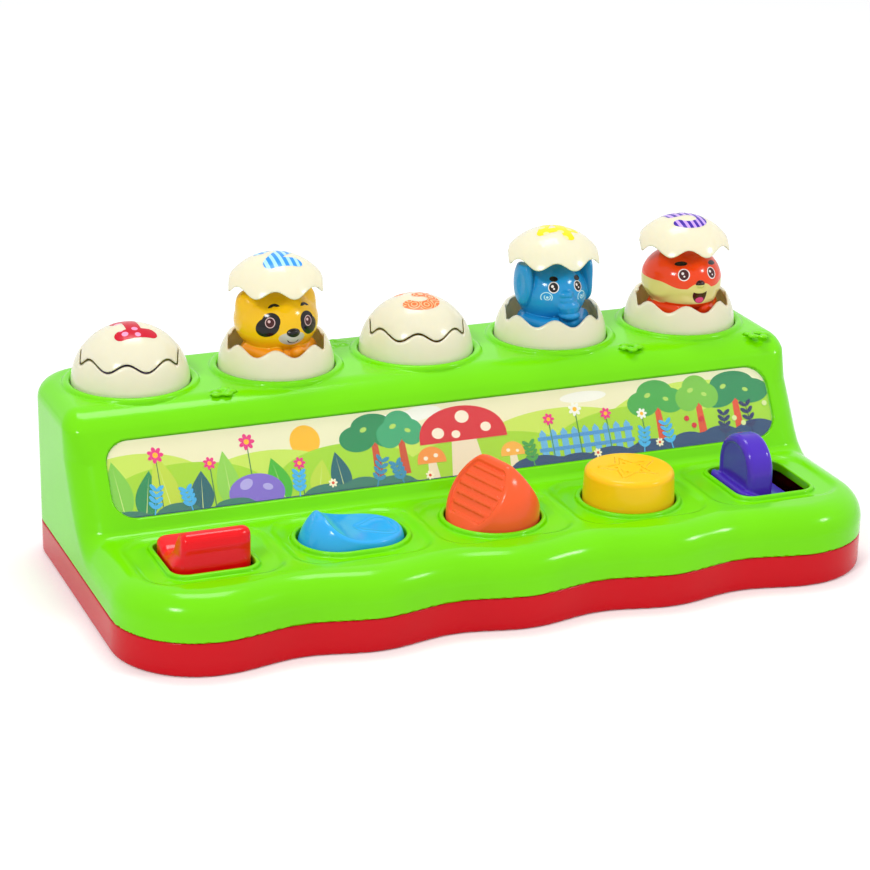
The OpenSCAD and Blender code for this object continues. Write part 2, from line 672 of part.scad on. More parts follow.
// Orange knob: a domed wedge with a ribbed slope, on a stem with a stepped cam ramp below.
knob_turn = 60; // turn of the knob from rest to its stop
ramp_drop = 3;
ramp_steps = 6;
module turn_knob() {
    low = 27;
    rim_z = ledge_h + 3;
    top_z = ledge_h + 25;
    rib_t = 1;
    turn = 15; // of the slope, from square to the front
    step_a = knob_turn / ramp_steps;
    color("coral") translate([control_x(2), control_y, 0]) {
        difference() {
            intersection() {
                rotate_extrude() polygon(concat([[0, low], [knob_r, low], [knob_r, rim_z]],
                    [for (k = [1:6]) [knob_r * cos(14 * k), rim_z + (top_z + 2 - rim_z) * sin(14 * k)]],
                    [[0, top_z + 2]]));
                rotate([90, 0, turn]) translate([0, 0, -30]) linear_extrude(60) polygon([[-30, low - cut],
                    [-20, rim_z], [-3.4, top_z - 1], [-1.4, top_z + 0.4], [2, top_z - 0.6],
                    [12.5, ledge_h + 11.5], [17, ledge_h + 4.5], [30, ledge_h + 3.6], [30, low - cut]]);
            }
            for (k = [0:4]) let (x = -17.2 + 3.2 * k, half = sqrt(pow(knob_r - 3.4, 2) - pow(x + 5, 2)))
                rotate([0, 0, turn]) translate([x, 0, rim_z + (x + 20) * (top_z - 1 - rim_z) / 16.6])
                    rotate([0, -52, 0]) cube([1.5, 2 * half, rib_t], center = true);
        }
        translate([0, 0, 6]) cylinder(r = stem_r, h = low - 6 + cut);
        difference() {
            rotate_extrude() translate([9.6, pad_z + foot_gap - ramp_drop]) square([5, low + cut + ramp_drop - pad_z]);
            for (k = [0:ramp_steps - 1])
                pie(-(k + 0.5) * step_a, 30, pad_z + foot_gap - ramp_drop * k / ramp_steps);
            pie(step_a / 2, 360 - (ramp_steps + 0.5) * step_a, low - 1);
        }
    }
}
// Sector from angle a0 to a1, wider than the ramp, up to z.
module pie(a0, a1, z) {
    linear_extrude(z) polygon(concat([[0, 0]], arc([0, 0], 30, a0, a1, 8)));
}

// Yellow button: a cap with a raised star, sliding on its stem.
module push_button() {
    low = 26.5;
    edge = 2.4;
    top_z = ledge_h + 13.4;
    star_t = 0.5;
    color("gold") translate([control_x(3), control_y, 0]) {
        difference() {
            rotate_extrude() polygon(concat([[0, low], [knob_r, low]],
                [for (k = [0:5]) [knob_r - 0.6 - edge + edge * cos(18 * k), top_z - edge + edge * sin(18 * k)]],
                [[0, top_z]]));
            for (k = [0:4]) rotate([0, 0, 90 + 72 * k]) translate([5.4, 0, top_z - 0.5]) cylinder(r = 0.5, h = 2, $fn = 16);
        }
        translate([0, 0, top_z - cut]) linear_extrude(cut + star_t) difference() {
            star(13.2, 6.4);
            star(11.6, 5.3);
        }
        translate([0, 0, 10]) cylinder(r = stem_r, h = low - 10 + cut);
        translate([pad_offset[3] - 3, -3, pad_z + foot_gap]) cube([6, 6, low - pad_z]);
    }
}
module star(out, in) {
    polygon([for (k = [0:9]) let (r = k % 2 == 0 ? out : in) r * [cos(90 + 36 * k), sin(90 + 36 * k)]]);
}

// Purple flip lever: a half-round fin on a drum that fills the opening.
module flip_lever() {
    fin_t = 12;
    fin_r = 14.6;
    fin_top = ledge_h + 21.5;
    d = slot_d - 2 * control_gap - 1.4;
    color("indigo") difference() {
        union() {
            translate([lever_x, control_y, fin_top - fin_r]) rotate([0, 90, 0]) rotate_extrude() polygon(concat(
                [[0, -fin_t / 2]], [for (k = [0:6]) [fin_r - 3 + 3 * sin(15 * k), -fin_t / 2 + 3 * (1 - cos(15 * k))]],
                [for (k = [0:6]) [fin_r - 3 + 3 * cos(15 * k), fin_t / 2 - 3 * (1 - sin(15 * k))]], [[0, fin_t / 2]]));
            translate([lever_x - fin_t / 2, control_y - fin_r, 24]) cube([fin_t, 2 * fin_r, fin_top - fin_r - 24]);
            intersection() {
                translate([lever_x, control_y + d / 2, 0]) rotate([90, 0, 0]) linear_extrude(d) polygon([
                    [-8.6, 24], [-9.4, ledge_h], [-7.6, ledge_h + 1.2], [-5, ledge_h + 0.4], [5, 27.4],
                    [9, 26], [17.6, 23.6], [17.2, 21.2], [4, 21.6]]);
                translate([control_x(4) + 10, control_y, 20]) rounded_block(slot_w - 2 * control_gap + 20, d, 5.4, 20);
            }
            for (s = [-1, 1]) translate([lever_x - 4, control_y + s * 11 - 2, lever_pin_z - 3.6]) cube([8, 4, 10]);
            translate([lever_x + 4, control_y - 3, pad_z + foot_gap]) cube([5, 6, 4]);
        }
        translate([lever_x, control_y, lever_pin_z]) rotate([90, 0, 0])
            cylinder(r = pin_r + pin_gap, h = 60, center = true);
    }
}
module lever_pin() {
    color("silver") translate([lever_x, control_y, lever_pin_z]) rotate([90, 0, 0])
        cylinder(r = pin_r, h = 2 * pin_reach, center = true);
}

// ---- fasteners ----

// Pan-head screw, its head at z = 0 and its shank upwards.
module screw(r, head_r, head_t, l) {
    difference() {
        union() {
            cylinder(r = head_r, h = head_t);
            cylinder(r = r, h = l);
        }
        translate([0, 0, -cut]) cylinder(r = head_r / 2, h = cut + 1, $fn = 4);
    }
}
module housing_screws() {
    color("silver") for (p = screw_spots) translate([p[0], p[1], 5.6]) screw(screw_r, 2.9, 2.2, 18);
}
module frame_screws() {
    color("silver") for (p = frame_spots) translate([p[0], p[1], frame_top - frame_t - 1.6]) screw(1.1, 2.6, 1.6, 5.6);
}

base_tray();
upper_housing();
picture_card();
picture_window();
guide_frame();
latch_axle();
for (i = stations) {
    egg_shell(i);
    egg_cap(i);
    lift_carrier(i);
    pop_spring(i);
    latch(i);
    latch_spring(i);
}
hippo_figure();
panda_figure();
lion_figure();
elephant_figure();
fox_figure();
press_bar();
press_bar_pin();
tilt_rocker();
rocker_pin();
turn_knob();
push_button();
flip_lever();
lever_pin();
housing_screws();
frame_screws();
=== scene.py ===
import math
from concurrent.futures import ThreadPoolExecutor

import bmesh
import bpy
import numpy as np
from mathutils import Matrix, Vector


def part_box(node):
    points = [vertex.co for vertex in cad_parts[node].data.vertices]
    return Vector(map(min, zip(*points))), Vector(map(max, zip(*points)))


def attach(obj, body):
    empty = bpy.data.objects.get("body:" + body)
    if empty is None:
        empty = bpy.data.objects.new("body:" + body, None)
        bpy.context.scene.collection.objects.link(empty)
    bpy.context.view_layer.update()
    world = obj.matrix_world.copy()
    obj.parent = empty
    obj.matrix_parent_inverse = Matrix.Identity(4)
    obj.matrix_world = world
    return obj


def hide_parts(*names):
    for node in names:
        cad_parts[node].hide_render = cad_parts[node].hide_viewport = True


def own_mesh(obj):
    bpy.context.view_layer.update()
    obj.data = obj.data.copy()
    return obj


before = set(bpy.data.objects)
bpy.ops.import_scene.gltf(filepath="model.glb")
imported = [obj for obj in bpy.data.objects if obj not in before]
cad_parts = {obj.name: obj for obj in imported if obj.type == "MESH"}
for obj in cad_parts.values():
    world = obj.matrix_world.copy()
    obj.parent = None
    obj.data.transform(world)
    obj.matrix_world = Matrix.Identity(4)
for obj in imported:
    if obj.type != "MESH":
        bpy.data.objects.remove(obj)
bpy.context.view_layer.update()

# ---------------------------------------------------------------- the view
# The toy stands on a plain pale floor under soft, even studio light.
# The camera looks down from the left front, with a long lens and no shift.
scene = bpy.context.scene
scene.view_settings.view_transform = "Standard"

camera = bpy.data.objects.new("camera", bpy.data.cameras.new("camera"))
scene.collection.objects.link(camera)
camera.data.sensor_width = 36.0
camera.data.lens = 107.84
camera.data.clip_end = 50.0
camera.matrix_world = Matrix((
    (0.92697, 0.11416, -0.35734, -0.4016),
    (-0.37471, 0.32692, -0.86759, -0.9489),
    (0.01778, 0.93813, 0.34582, 0.4342),
    (0.0, 0.0, 0.0, 1.0)))
scene.camera = camera


def add(tree, kind, inputs=None, operation=None):
    """Adds a shader node; each input takes a value, or the socket that feeds it."""
    node = tree.nodes.new("ShaderNode" + kind)
    if operation:
        node.operation = operation
    for name, value in (inputs or {}).items():
        if isinstance(value, bpy.types.NodeSocket):
            tree.links.new(value, node.inputs[name])
        else:
            node.inputs[name].default_value = value
    return node


floor_half, floor_tone, floor_grain, floor_lift = 6.0, 0.93, 0.985, 0.14
paper = bpy.data.materials.new("floor_paper")
paper.use_nodes = True
tree = paper.node_tree
tree.nodes.clear()
grain = add(tree, "TexNoise", {"Scale": 3.0})
ramp = add(tree, "ValToRGB", {"Fac": grain.outputs["Fac"]})
ramp.color_ramp.elements[0].color = (*[floor_tone * floor_grain] * 3, 1)
ramp.color_ramp.elements[1].color = (*[floor_tone] * 3, 1)
matt = add(tree, "BsdfDiffuse", {"Color": ramp.outputs["Color"]})
seen = add(tree, "LightPath").outputs["Is Camera Ray"]
lift = add(tree, "Math", {0: seen, 1: floor_lift}, "MULTIPLY")
glow = add(tree, "Emission", {"Strength": lift.outputs[0]})
both = add(tree, "AddShader", {0: matt.outputs["BSDF"], 1: glow.outputs["Emission"]})
add(tree, "OutputMaterial", {"Surface": both.outputs["Shader"]})
floor_mesh = bpy.data.meshes.new("floor")
floor_mesh.from_pydata([(-floor_half, -floor_half, 0), (floor_half, -floor_half, 0),
                        (floor_half, floor_half, 0), (-floor_half, floor_half, 0)],
                       [], [(0, 1, 2, 3)])
floor_mesh.materials.append(paper)
floor = bpy.data.objects.new("floor", floor_mesh)
scene.collection.objects.link(floor)

# The sky lights the toy softly; the camera, gloss and clear plastic see it white.
sky_strength = 0.62
sky = bpy.data.worlds.new("studio")
scene.world = sky
sky.use_nodes = True
tree = sky.node_tree
tree.nodes.clear()
white_sky = add(tree, "Background", {"Color": (1, 1, 1, 1)})
soft_sky = add(tree, "Background", {"Color": (0.97, 0.985, 1, 1), "Strength": sky_strength})
rays = add(tree, "LightPath").outputs
seen = rays["Is Camera Ray"]
for ray in ("Is Glossy Ray", "Is Transmission Ray"):
    seen = add(tree, "Math", {0: seen, 1: rays[ray]}, "MAXIMUM").outputs[0]
sky_mix = add(tree, "MixShader", {"Fac": seen, 1: soft_sky.outputs["Background"],
                                  2: white_sky.outputs["Background"]})
add(tree, "OutputWorld", {"Surface": sky_mix.outputs["Shader"]})

lamp_target = Vector((0, 0, 0.05))
for name, place, size, power in (("lamp_left", (-1.3, -1.0, 1.5), 0.42, 15.0),
                                 ("lamp_right", (1.4, -0.9, 1.3), 0.32, 8.0),
                                 ("lamp_top", (0.1, 0.5, 1.8), 0.8, 11.5)):
    lamp = bpy.data.objects.new(name, bpy.data.lights.new(name, "AREA"))
    lamp.data.shape = "RECTANGLE"
    lamp.data.size = size
    lamp.data.size_y = size * 0.7
    lamp.data.energy = power
    lamp.location = place
    lamp.rotation_mode = "QUATERNION"
    lamp.rotation_quaternion = (lamp_target - lamp.location).to_track_quat("-Z", "Y")
    scene.collection.objects.link(lamp)


# ---------------------------------------------------------------- green housing
# One glossy green moulding: rounded deck, leaning picture panel and front ledge.
# Its skin is drawn as a field in mm, below zero inside the plastic, with every
# corner filleted as the tool would leave it; the shell is 2.2 mm thick.
body_length, body_depth = 330.0, 163.0
deck_height, ledge_height, seam_height = 77.0, 32.5, 14.5
housing_wall, panel_wall = 2.2, 3.6
front_corner, rear_corner, panel_corner = 36.0, 22.0, 13.0
ledge_rounding, deck_rounding = 12.0, 8.0
egg_pitch, egg_line, egg_radius, egg_wall = 64.0, 50.1, 24.9, 1.6
control_pitch, control_line = 62.0, -37.7
panel_lean = math.radians(59.0)
panel_foot = egg_line - 59.3
knob_radius, control_gap = 19.4, 0.7
dish_width, dish_depth, dish_corner, dish_drop = 57, 47, 12, 1.2
square_seat, rocker_seat = (34, 36, 6), (45, 34, 16.5)
lip_width, lip_height, lip_foot, under_dish = 2.1, 0.7, 30.3, 28.9
ring_out, ring_drop, ring_size = 2.0, 0.3, 1.9
window_width, window_height, window_corner, window_rise, window_sunk = 301.6, 32.4, 9.9, 19.75, 1.8
tray_end, screw_line_back, screw_line_front = 14, 70.0, -65.5


def rounded_and(a, b, r):
    """What lies inside both a and b, with their edge rounded to radius r."""
    u, v = a + r, b + r
    return np.hypot(np.maximum(u, 0), np.maximum(v, 0)) + np.minimum(np.maximum(u, v), 0) - r


def rounded_or(a, b, r):
    """What lies inside a or b, with a fillet of radius r where they meet."""
    return -rounded_and(-a, -b, r)


def rounded_oblong(x, y, width, depth, r):
    return rounded_and(np.abs(x) - width / 2, np.abs(y) - depth / 2, r)


def near(*conditions):
    """Numbers of the points that meet all conditions; the rest are left as they are."""
    return np.flatnonzero(np.logical_and.reduce(conditions))


def nearest(along, pitch, count=5):
    """Middle of the nearest of count like places in a row, a pitch apart."""
    end = (count - 1) / 2
    return pitch * (np.clip(np.rint(along / pitch + end), 0, count - 1) - end)


def casing_outline(x, y):
    """Distance in plan from the casing's rounded outline with its scalloped front."""
    wave = np.where(np.abs(x) < 2 * egg_pitch, 2.45 * (1 - np.cos(2 * np.pi * x / egg_pitch)), 0)
    waved = y - wave * np.clip((-30 - y) / 30, 0, 1)
    return rounded_oblong(x, waved, body_length, body_depth, np.where(y < 0, front_corner, rear_corner))


def stepped_block(x, y, z, inset, panel_inset):
    """The whole form without its openings, drawn in by inset."""
    panel = -(y - panel_foot) * math.sin(panel_lean) + (z - ledge_height) * math.cos(panel_lean) + panel_inset
    upper = rounded_and(panel, z - deck_height + inset, deck_rounding - inset)
    step = rounded_or(z - ledge_height + inset, upper, 2.0)
    corner = np.interp(z, [30, 38, 58, 70], [ledge_rounding, panel_corner, panel_corner, deck_rounding])
    return rounded_and(casing_outline(x, y) + inset, step, corner - inset)


def add_control_seats(skin, x, y, z):
    """Dishes, lips and openings of the five controls, from press bar to flip lever."""
    number = np.clip(np.rint(x / control_pitch), -2, 2)
    u, v = x - number * control_pitch, y - control_line
    at = near(np.abs(u) < 33, np.abs(v) < 28, z > 20, z < 40)
    u, v, z, number, ledge = u[at], v[at], z[at], number[at], skin[at]
    edge = np.where(np.abs(number) == 2, rounded_oblong(u, v, *square_seat),
                    np.where(number == -1, rounded_oblong(u, v, *rocker_seat),
                             np.hypot(u, v) - knob_radius - control_gap))
    dish = rounded_oblong(u, v, dish_width, dish_depth, dish_corner)
    ledge = rounded_and(ledge, -rounded_and(0.55 * dish, ledge_height - dish_drop - z, 1.2), 1.4)
    lip = rounded_and(rounded_and(edge - lip_width, z - ledge_height - lip_height, 1.0), lip_foot - z, 0.2)
    ledge = rounded_or(ledge, lip, 0.8)
    skin[at] = rounded_and(ledge, -edge, 0.7)


relief_spots = ((-96.0, 23.8), (-29.8, 68.6), (90.5, 22.3), (152.0, 20.0))
petals, petal_reach, petal_half = 5, (3.5, 4.5), (2.3, 1.9, 0.9)


def add_reliefs(skin, x, y, z):
    """Low flowers of five buds each, moulded on the deck between the eggs."""
    for k, (u, v) in enumerate(relief_spots):
        at = near(z > 74, np.abs(x - u) < 8, np.abs(y - v) < 8)
        for petal in range(petals if at.size else 0):
            turn = 2 * math.pi * (petal + 0.3 * k) / petals
            reach = petal_reach[petal % 2]
            bud = np.sqrt(((x[at] - u - reach * math.cos(turn)) / petal_half[0]) ** 2
                          + ((y[at] - v - 0.8 * reach * math.sin(turn)) / petal_half[1]) ** 2
                          + ((z[at] - deck_height) / petal_half[2]) ** 2)
            skin[at] = rounded_or(skin[at], (bud - 1) * petal_half[2], 0.4)


def add_posts(skin, x, y, z):
    """Bored posts for the screws: behind the eggs, along the front, and under the deck."""
    for v, low, top, pitch, r, bore, bore_end in (
            (screw_line_back, tray_end, 75, egg_pitch, 4, 1.4, 25.5),
            (screw_line_front, tray_end, 31, control_pitch, 4, 1.4, 25.5),
            (egg_line, 73, 76, egg_pitch, 3.5, 1.1, 75.6)):
        at = near(np.abs(y - v) < 8, z > low - 3, z < top + 3)
        post = np.hypot(x[at] - nearest(x[at], pitch, 4), y[at] - v)
        skin[at] = rounded_or(skin[at], np.maximum(np.maximum(post - r, z[at] - top), low - z[at]), 0.4)
        skin[at] = np.where(z[at] < bore_end, np.maximum(skin[at], bore - post), skin[at])


def green_shell(p):
    x, y, z = p.T
    skin = stepped_block(x, y, z, 0, 0)
    from_egg = np.hypot(x - nearest(x, egg_pitch), y - egg_line)
    at = near(z > 70, from_egg < 34)
    ring = np.hypot(from_egg[at] - egg_radius - ring_out, z[at] - deck_height + ring_drop) - ring_size
    skin[at] = rounded_or(skin[at], ring, 0.5)
    add_reliefs(skin, x, y, z)
    add_control_seats(skin, x, y, z)
    hollow = stepped_block(x, y, z, housing_wall, panel_wall)
    dish = rounded_oblong(x - nearest(x, control_pitch), y - control_line, dish_width + 3, dish_depth + 3,
                          dish_corner)
    skin = rounded_and(skin, -np.maximum(hollow, np.minimum(-dish, z - under_dish)), 0.4)
    skin = np.where(z > 60, rounded_and(skin, egg_radius + 0.3 - from_egg, 0.3), skin)
    up_slope = (y - panel_foot) * math.cos(panel_lean) + (z - ledge_height) * math.sin(panel_lean)
    outward = -(y - panel_foot) * math.sin(panel_lean) + (z - ledge_height) * math.cos(panel_lean)
    window = rounded_oblong(x, up_slope - window_rise / math.sin(panel_lean), window_width, window_height,
                            window_corner)
    skin = rounded_and(skin, -np.maximum(window, -window_sunk - outward), 0.5)
    add_posts(skin, x, y, z)
    return rounded_and(skin, seam_height - z, 0.4)


def skin_slope(solid, p):
    """The field at each point, the outward normal there, and how steep the field is."""
    step = 0.02
    here = solid(p)
    ahead = np.stack([solid(p + step * axis) - here for axis in np.eye(3)], 1) / step
    length = np.linalg.norm(ahead, axis=1)
    return here, ahead / np.maximum(length, 1e-6)[:, None], np.maximum(length, 0.3)


def in_batches(work, points, batch=40000):
    """work done on all points, a batch at a time, on every core."""
    parts = [points[k:k + batch] for k in range(0, len(points), batch)]
    with ThreadPoolExecutor(4) as pool:
        return list(pool.map(work, parts))


def moulded(name, solid, low, high, cell, look, keep):
    """Closed skin of a moulded piece: solid(points) in mm is below zero inside it.
    Cells of the given size are searched for the skin and one corner is set in each,
    then every corner is moved onto the exact surface and takes its exact normal.
    Where the skin is nearly flat, faces are merged until only the share keep is left."""
    side = 5
    low = np.array(low, float) - 2 * cell
    count = (np.ceil((np.array(high, float) + 2 * cell - low) / (cell * side)).astype(int) + 1)
    mids = np.stack(np.meshgrid(*[low[k] + cell * (side * np.arange(count[k]) + (side - 1) / 2)
                                  for k in range(3)], indexing="ij"), -1).reshape(-1, 3)
    rough = np.concatenate(in_batches(solid, mids))
    close = np.flatnonzero(np.abs(rough) < 1.25 * cell * side)
    offset = np.stack(np.meshgrid(*[cell * (np.arange(side) - (side - 1) / 2)] * 3, indexing="ij"), -1)
    value = np.repeat(rough.astype(np.float32), side ** 3).reshape(-1, side ** 3)
    value[close] = np.concatenate(in_batches(
        lambda part: solid((part[:, None] + offset.reshape(-1, 3)).reshape(-1, 3)).reshape(-1, side ** 3),
        mids[close], 400))
    value = value.reshape(*count, side, side, side).transpose(0, 3, 1, 4, 2, 5).reshape(*(count * side))
    inside = value < 0
    cells = np.array(value.shape) - 1
    corners = [(i, j, k) for i in (0, 1) for j in (0, 1) for k in (0, 1)]
    total = sum(inside[i:i + cells[0], j:j + cells[1], k:k + cells[2]].astype(np.uint8)
                for i, j, k in corners)
    mixed = np.argwhere((total > 0) & (total < 8))
    places, hits = np.zeros((len(mixed), 3)), np.zeros(len(mixed))
    for a in corners:
        for axis in range(3):
            if a[axis]:
                continue
            b = tuple(c + (k == axis) for k, c in enumerate(a))
            va, vb = (value[tuple((mixed + c).T)] for c in (a, b))
            cross = (va < 0) != (vb < 0)
            share = np.where(cross, va / np.where(cross, va - vb, 1), 0)
            places[cross] += np.array(a) + share[cross, None] * np.eye(3)[axis]
            hits += cross
    points = low + cell * (mixed + places / hits[:, None])

    def settle(part):
        for _ in range(3):
            here, normal, steep = skin_slope(solid, part)
            part = part - normal * np.clip(here / steep, -cell / 2, cell / 2)[:, None]
        return part

    points = np.concatenate(in_batches(settle, points))
    index = np.full(tuple(cells), -1)
    index[tuple(mixed.T)] = np.arange(len(mixed))
    quads = []
    for axis in range(3):
        first = np.take(inside, range(inside.shape[axis] - 1), axis)
        second = np.take(inside, range(1, inside.shape[axis]), axis)
        at = np.argwhere(first != second)
        back_a, back_b = np.eye(3, dtype=int)[(axis + 1) % 3], np.eye(3, dtype=int)[(axis + 2) % 3]
        quad = np.stack([index[tuple((at - s).T)] for s in (back_a + back_b, back_b, 0 * back_a, back_a)], 1)
        flipped = ~first[tuple(at.T)]
        quad[flipped] = quad[flipped][:, ::-1]
        quads.append(quad)
    quads = np.concatenate(quads)
    mesh = bpy.data.meshes.new(name)
    mesh.vertices.add(len(points))
    mesh.vertices.foreach_set("co", (points / 1000).astype(np.float32).ravel())
    mesh.loops.add(quads.size)
    mesh.loops.foreach_set("vertex_index", quads.astype(np.int32).ravel())
    mesh.polygons.add(len(quads))
    mesh.polygons.foreach_set("loop_start", np.arange(0, quads.size, 4, dtype=np.int32))
    mesh.update(calc_edges=True)
    piece = bpy.data.objects.new(name, mesh)
    scene.collection.objects.link(piece)
    thin = piece.modifiers.new("thin", "DECIMATE")
    thin.ratio = keep
    merged = bpy.data.meshes.new_from_object(piece.evaluated_get(bpy.context.evaluated_depsgraph_get()))
    piece.modifiers.clear()
    piece.data = merged
    bpy.data.meshes.remove(mesh)
    mesh = merged
    mesh.name = name
    kept = np.empty(len(mesh.vertices) * 3, np.float32)
    mesh.vertices.foreach_get("co", kept)
    settled = np.concatenate(in_batches(settle, kept.reshape(-1, 3) * 1000.0))
    mesh.vertices.foreach_set("co", (settled / 1000).astype(np.float32).ravel())
    mesh.polygons.foreach_set("use_smooth", np.ones(len(mesh.polygons), bool))
    normals = np.concatenate(in_batches(lambda part: skin_slope(solid, part)[1], settled))
    mesh.normals_split_custom_set_from_vertices(normals.tolist())
    mesh.materials.append(look)
    return piece


def tone(red, green, blue):
    """A colour as a paint chart gives it, 0 to 255, turned into light."""
    return tuple(c / 255 / 12.92 if c < 10.3 else ((c / 255 + 0.055) / 1.055) ** 2.4
                 for c in (red, green, blue))


def effect_group(name, inputs, outputs):
    """An empty node group with its sockets; F is a number, C a colour, V a vector."""
    kinds = {"F": "NodeSocketFloat", "C": "NodeSocketColor", "V": "NodeSocketVector"}
    group = bpy.data.node_groups.new(name, "ShaderNodeTree")
    for socket, kind in inputs:
        group.interface.new_socket(socket, in_out="INPUT", socket_type=kinds[kind])
    for socket, kind in outputs:
        group.interface.new_socket(socket, in_out="OUTPUT", socket_type=kinds[kind])
    return group, group.nodes.new("NodeGroupInput").outputs, group.nodes.new("NodeGroupOutput").inputs


def moulding_effect():
    """The faint cloudiness, rubbing and orange-peel of injection-moulded plastic."""
    rub_roughness = 0.10
    group, given, out = effect_group("moulded_plastic", (("Color", "C"), ("Cloud", "F"), ("Gloss", "F")),
                                     (("Color", "C"), ("Roughness", "F"), ("Height", "F")))
    where = add(group, "TexCoord").outputs["Object"]
    cloud, peel, rub = (
        add(group, "TexNoise", {"Vector": where, "Scale": scale, "Detail": detail}).outputs["Fac"]
        for scale, detail in ((28.0, 3.0), (700.0, 2.0), (90.0, 6.0)))
    darkest = add(group, "Math", {0: 1.0, 1: given["Cloud"]}, "SUBTRACT")
    swing = add(group, "MapRange", {"Value": cloud, "From Min": 0.3, "From Max": 0.7,
                                    "To Min": darkest.outputs[0]})
    shade = add(group, "VectorMath", {0: given["Color"], "Scale": swing.outputs["Result"]}, "SCALE")
    rough = add(group, "Math", {0: rub, 1: rub_roughness, 2: given["Gloss"]}, "MULTIPLY_ADD")
    group.links.new(shade.outputs["Vector"], out["Color"])
    group.links.new(rough.outputs[0], out["Roughness"])
    group.links.new(peel, out["Height"])
    return group


moulded_plastic = moulding_effect()


def plastic(name, colour, gloss=0.12, cloud=0.06, peel=0.02, metal=0.0, sheen=0.2):
    """Coloured moulded plastic; gloss is its least roughness, sheen how much it mirrors."""
    look = bpy.data.materials.new(name)
    look.use_nodes = True
    tree = look.node_tree
    shader = tree.nodes["Principled BSDF"].inputs
    effect = add(tree, "Group")
    effect.name = "plastic"
    effect.node_tree = moulded_plastic
    effect.inputs["Color"].default_value = (*colour, 1)
    effect.inputs["Cloud"].default_value = cloud
    effect.inputs["Gloss"].default_value = gloss
    bump = add(tree, "Bump", {"Strength": peel, "Distance": 0.0004, "Height": effect.outputs["Height"]})
    tree.links.new(effect.outputs["Color"], shader["Base Color"])
    tree.links.new(effect.outputs["Roughness"], shader["Roughness"])
    tree.links.new(bump.outputs["Normal"], shader["Normal"])
    shader["Metallic"].default_value = metal
    shader["Specular IOR Level"].default_value = 0.5 if metal else sheen
    return look


green = plastic("green_plastic", tone(118, 222, 0), gloss=0.10)
housing = moulded("green_housing", green_shell, (-166, -83, 14), (166, 83, 80), 1.0, green, keep=0.4)
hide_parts("upper_housing")
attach(housing, "housing")

# ---------------------------------------------------------------- red tray
# The red bottom half: a shallow moulded tray that stands on a foot rim.
# Its tongue locates the housing, screws pass up through its bosses, and webs and
# posts on its floor carry the latch axle and the hinge pins.
floor_top, foot_rim, foot_step = 3.6, 5.0, 1.2
axle_line, axle_height = egg_line - 36.9, 24.0
web_half, pin_bore, axle_bore = 1.5, 1.55, 2.05
bar_web, rocker_web = 19.4, 18.3
boss_radius, screw_bore, head_bore, head_depth = 4, 1.7, 3.2, 8
bar_pin = (-2 * control_pitch, control_line + 14, 25.5)
rocker_pin_height, lever_x, lever_pin_height = 26.0, 2 * control_pitch - 6.5, 17.0


def block(x, y, z, low, high):
    """A plain block between two corners."""
    half = (np.array(high, float) - low) / 2
    middle = (np.array(high, float) + low) / 2
    return np.maximum(np.maximum(np.abs(x - middle[0]) - half[0], np.abs(y - middle[1]) - half[1]),
                      np.abs(z - middle[2]) - half[2])


def red_tray(p):
    x, y, z = p.T
    outline = casing_outline(x, y)
    skin = rounded_and(rounded_and(outline, -z, 1.8), z - seam_height, 0.4)
    skin = rounded_and(skin, -rounded_and(outline + housing_wall, floor_top - z, 1.0), 0.4)
    skin = rounded_and(skin, -np.maximum(outline + foot_rim, z - foot_step), 0.5)
    tongue = np.maximum(np.maximum(outline + 2.4, -outline - 3.6), np.abs(z - seam_height) - 2)
    skin = rounded_or(skin, tongue, 0.3)
    webs = [(bar_pin[0] + s * bar_web, bar_pin[1], web_half, 4, 29.0) for s in (-1, 1)]
    webs += [(u, control_line + s * rocker_web, 4, web_half, top)
             for u, top in ((-control_pitch, 29.5), (lever_x, 20.5)) for s in (-1, 1)]
    webs += [(s * egg_pitch, axle_line, web_half, 5, 29.0) for s in (-2.4, -1.5, -0.5, 0.5, 1.5, 2.4)]
    for u, v, half_x, half_y, top in webs:
        at = near(np.abs(x - u) < half_x + 3, np.abs(y - v) < half_y + 3)
        web = block(x[at], y[at], z[at], (u - half_x, v - half_y, 2.4), (u + half_x, v + half_y, top))
        skin[at] = rounded_or(skin[at], web, 0.6)
    for v, pitch in ((screw_line_back, egg_pitch), (screw_line_front, control_pitch)):
        at = near(np.abs(y - v) < 8)
        post = np.hypot(x[at] - nearest(x[at], pitch, 4), y[at] - v)
        boss = np.maximum(post - boss_radius, np.maximum(z[at] - seam_height, foot_step - z[at]))
        skin[at] = rounded_or(skin[at], boss, 0.4)
        bores = np.minimum(post - screw_bore, np.maximum(post - head_bore, z[at] - head_depth))
        skin[at] = np.maximum(skin[at], -bores)
    sockets = [(u, control_line, 12.2, 5.1) for u in (0, control_pitch)]
    sockets += [(i * egg_pitch, egg_line, 11.6, 0) for i in (-2, -1, 0, 1, 2)]
    for u, v, top, bore in sockets:
        at = near(np.abs(x - u) < 12, np.abs(y - v) < 12)
        post = np.hypot(x[at] - u, y[at] - v)
        skin[at] = rounded_or(skin[at], np.maximum(post - 8, np.maximum(z[at] - top, foot_step - z[at])), 0.6)
        if bore:
            skin[at] = np.maximum(skin[at], -np.maximum(post - bore, floor_top - z[at]))
    at = near(np.abs(y - axle_line) < 8, z > 18)
    skin[at] = np.maximum(skin[at], axle_bore - np.hypot(y[at] - axle_line, z[at] - axle_height))
    at = near(np.abs(x - bar_pin[0]) < 26, np.abs(y - bar_pin[1]) < 6, z > 18)
    skin[at] = np.maximum(skin[at], pin_bore - np.hypot(y[at] - bar_pin[1], z[at] - bar_pin[2]))
    for u, height in ((-control_pitch, rocker_pin_height), (lever_x, lever_pin_height)):
        at = near(np.abs(x - u) < 8, np.abs(y - control_line) < 24, z > 10)
        skin[at] = np.maximum(skin[at], pin_bore - np.hypot(x[at] - u, z[at] - height))
    return skin


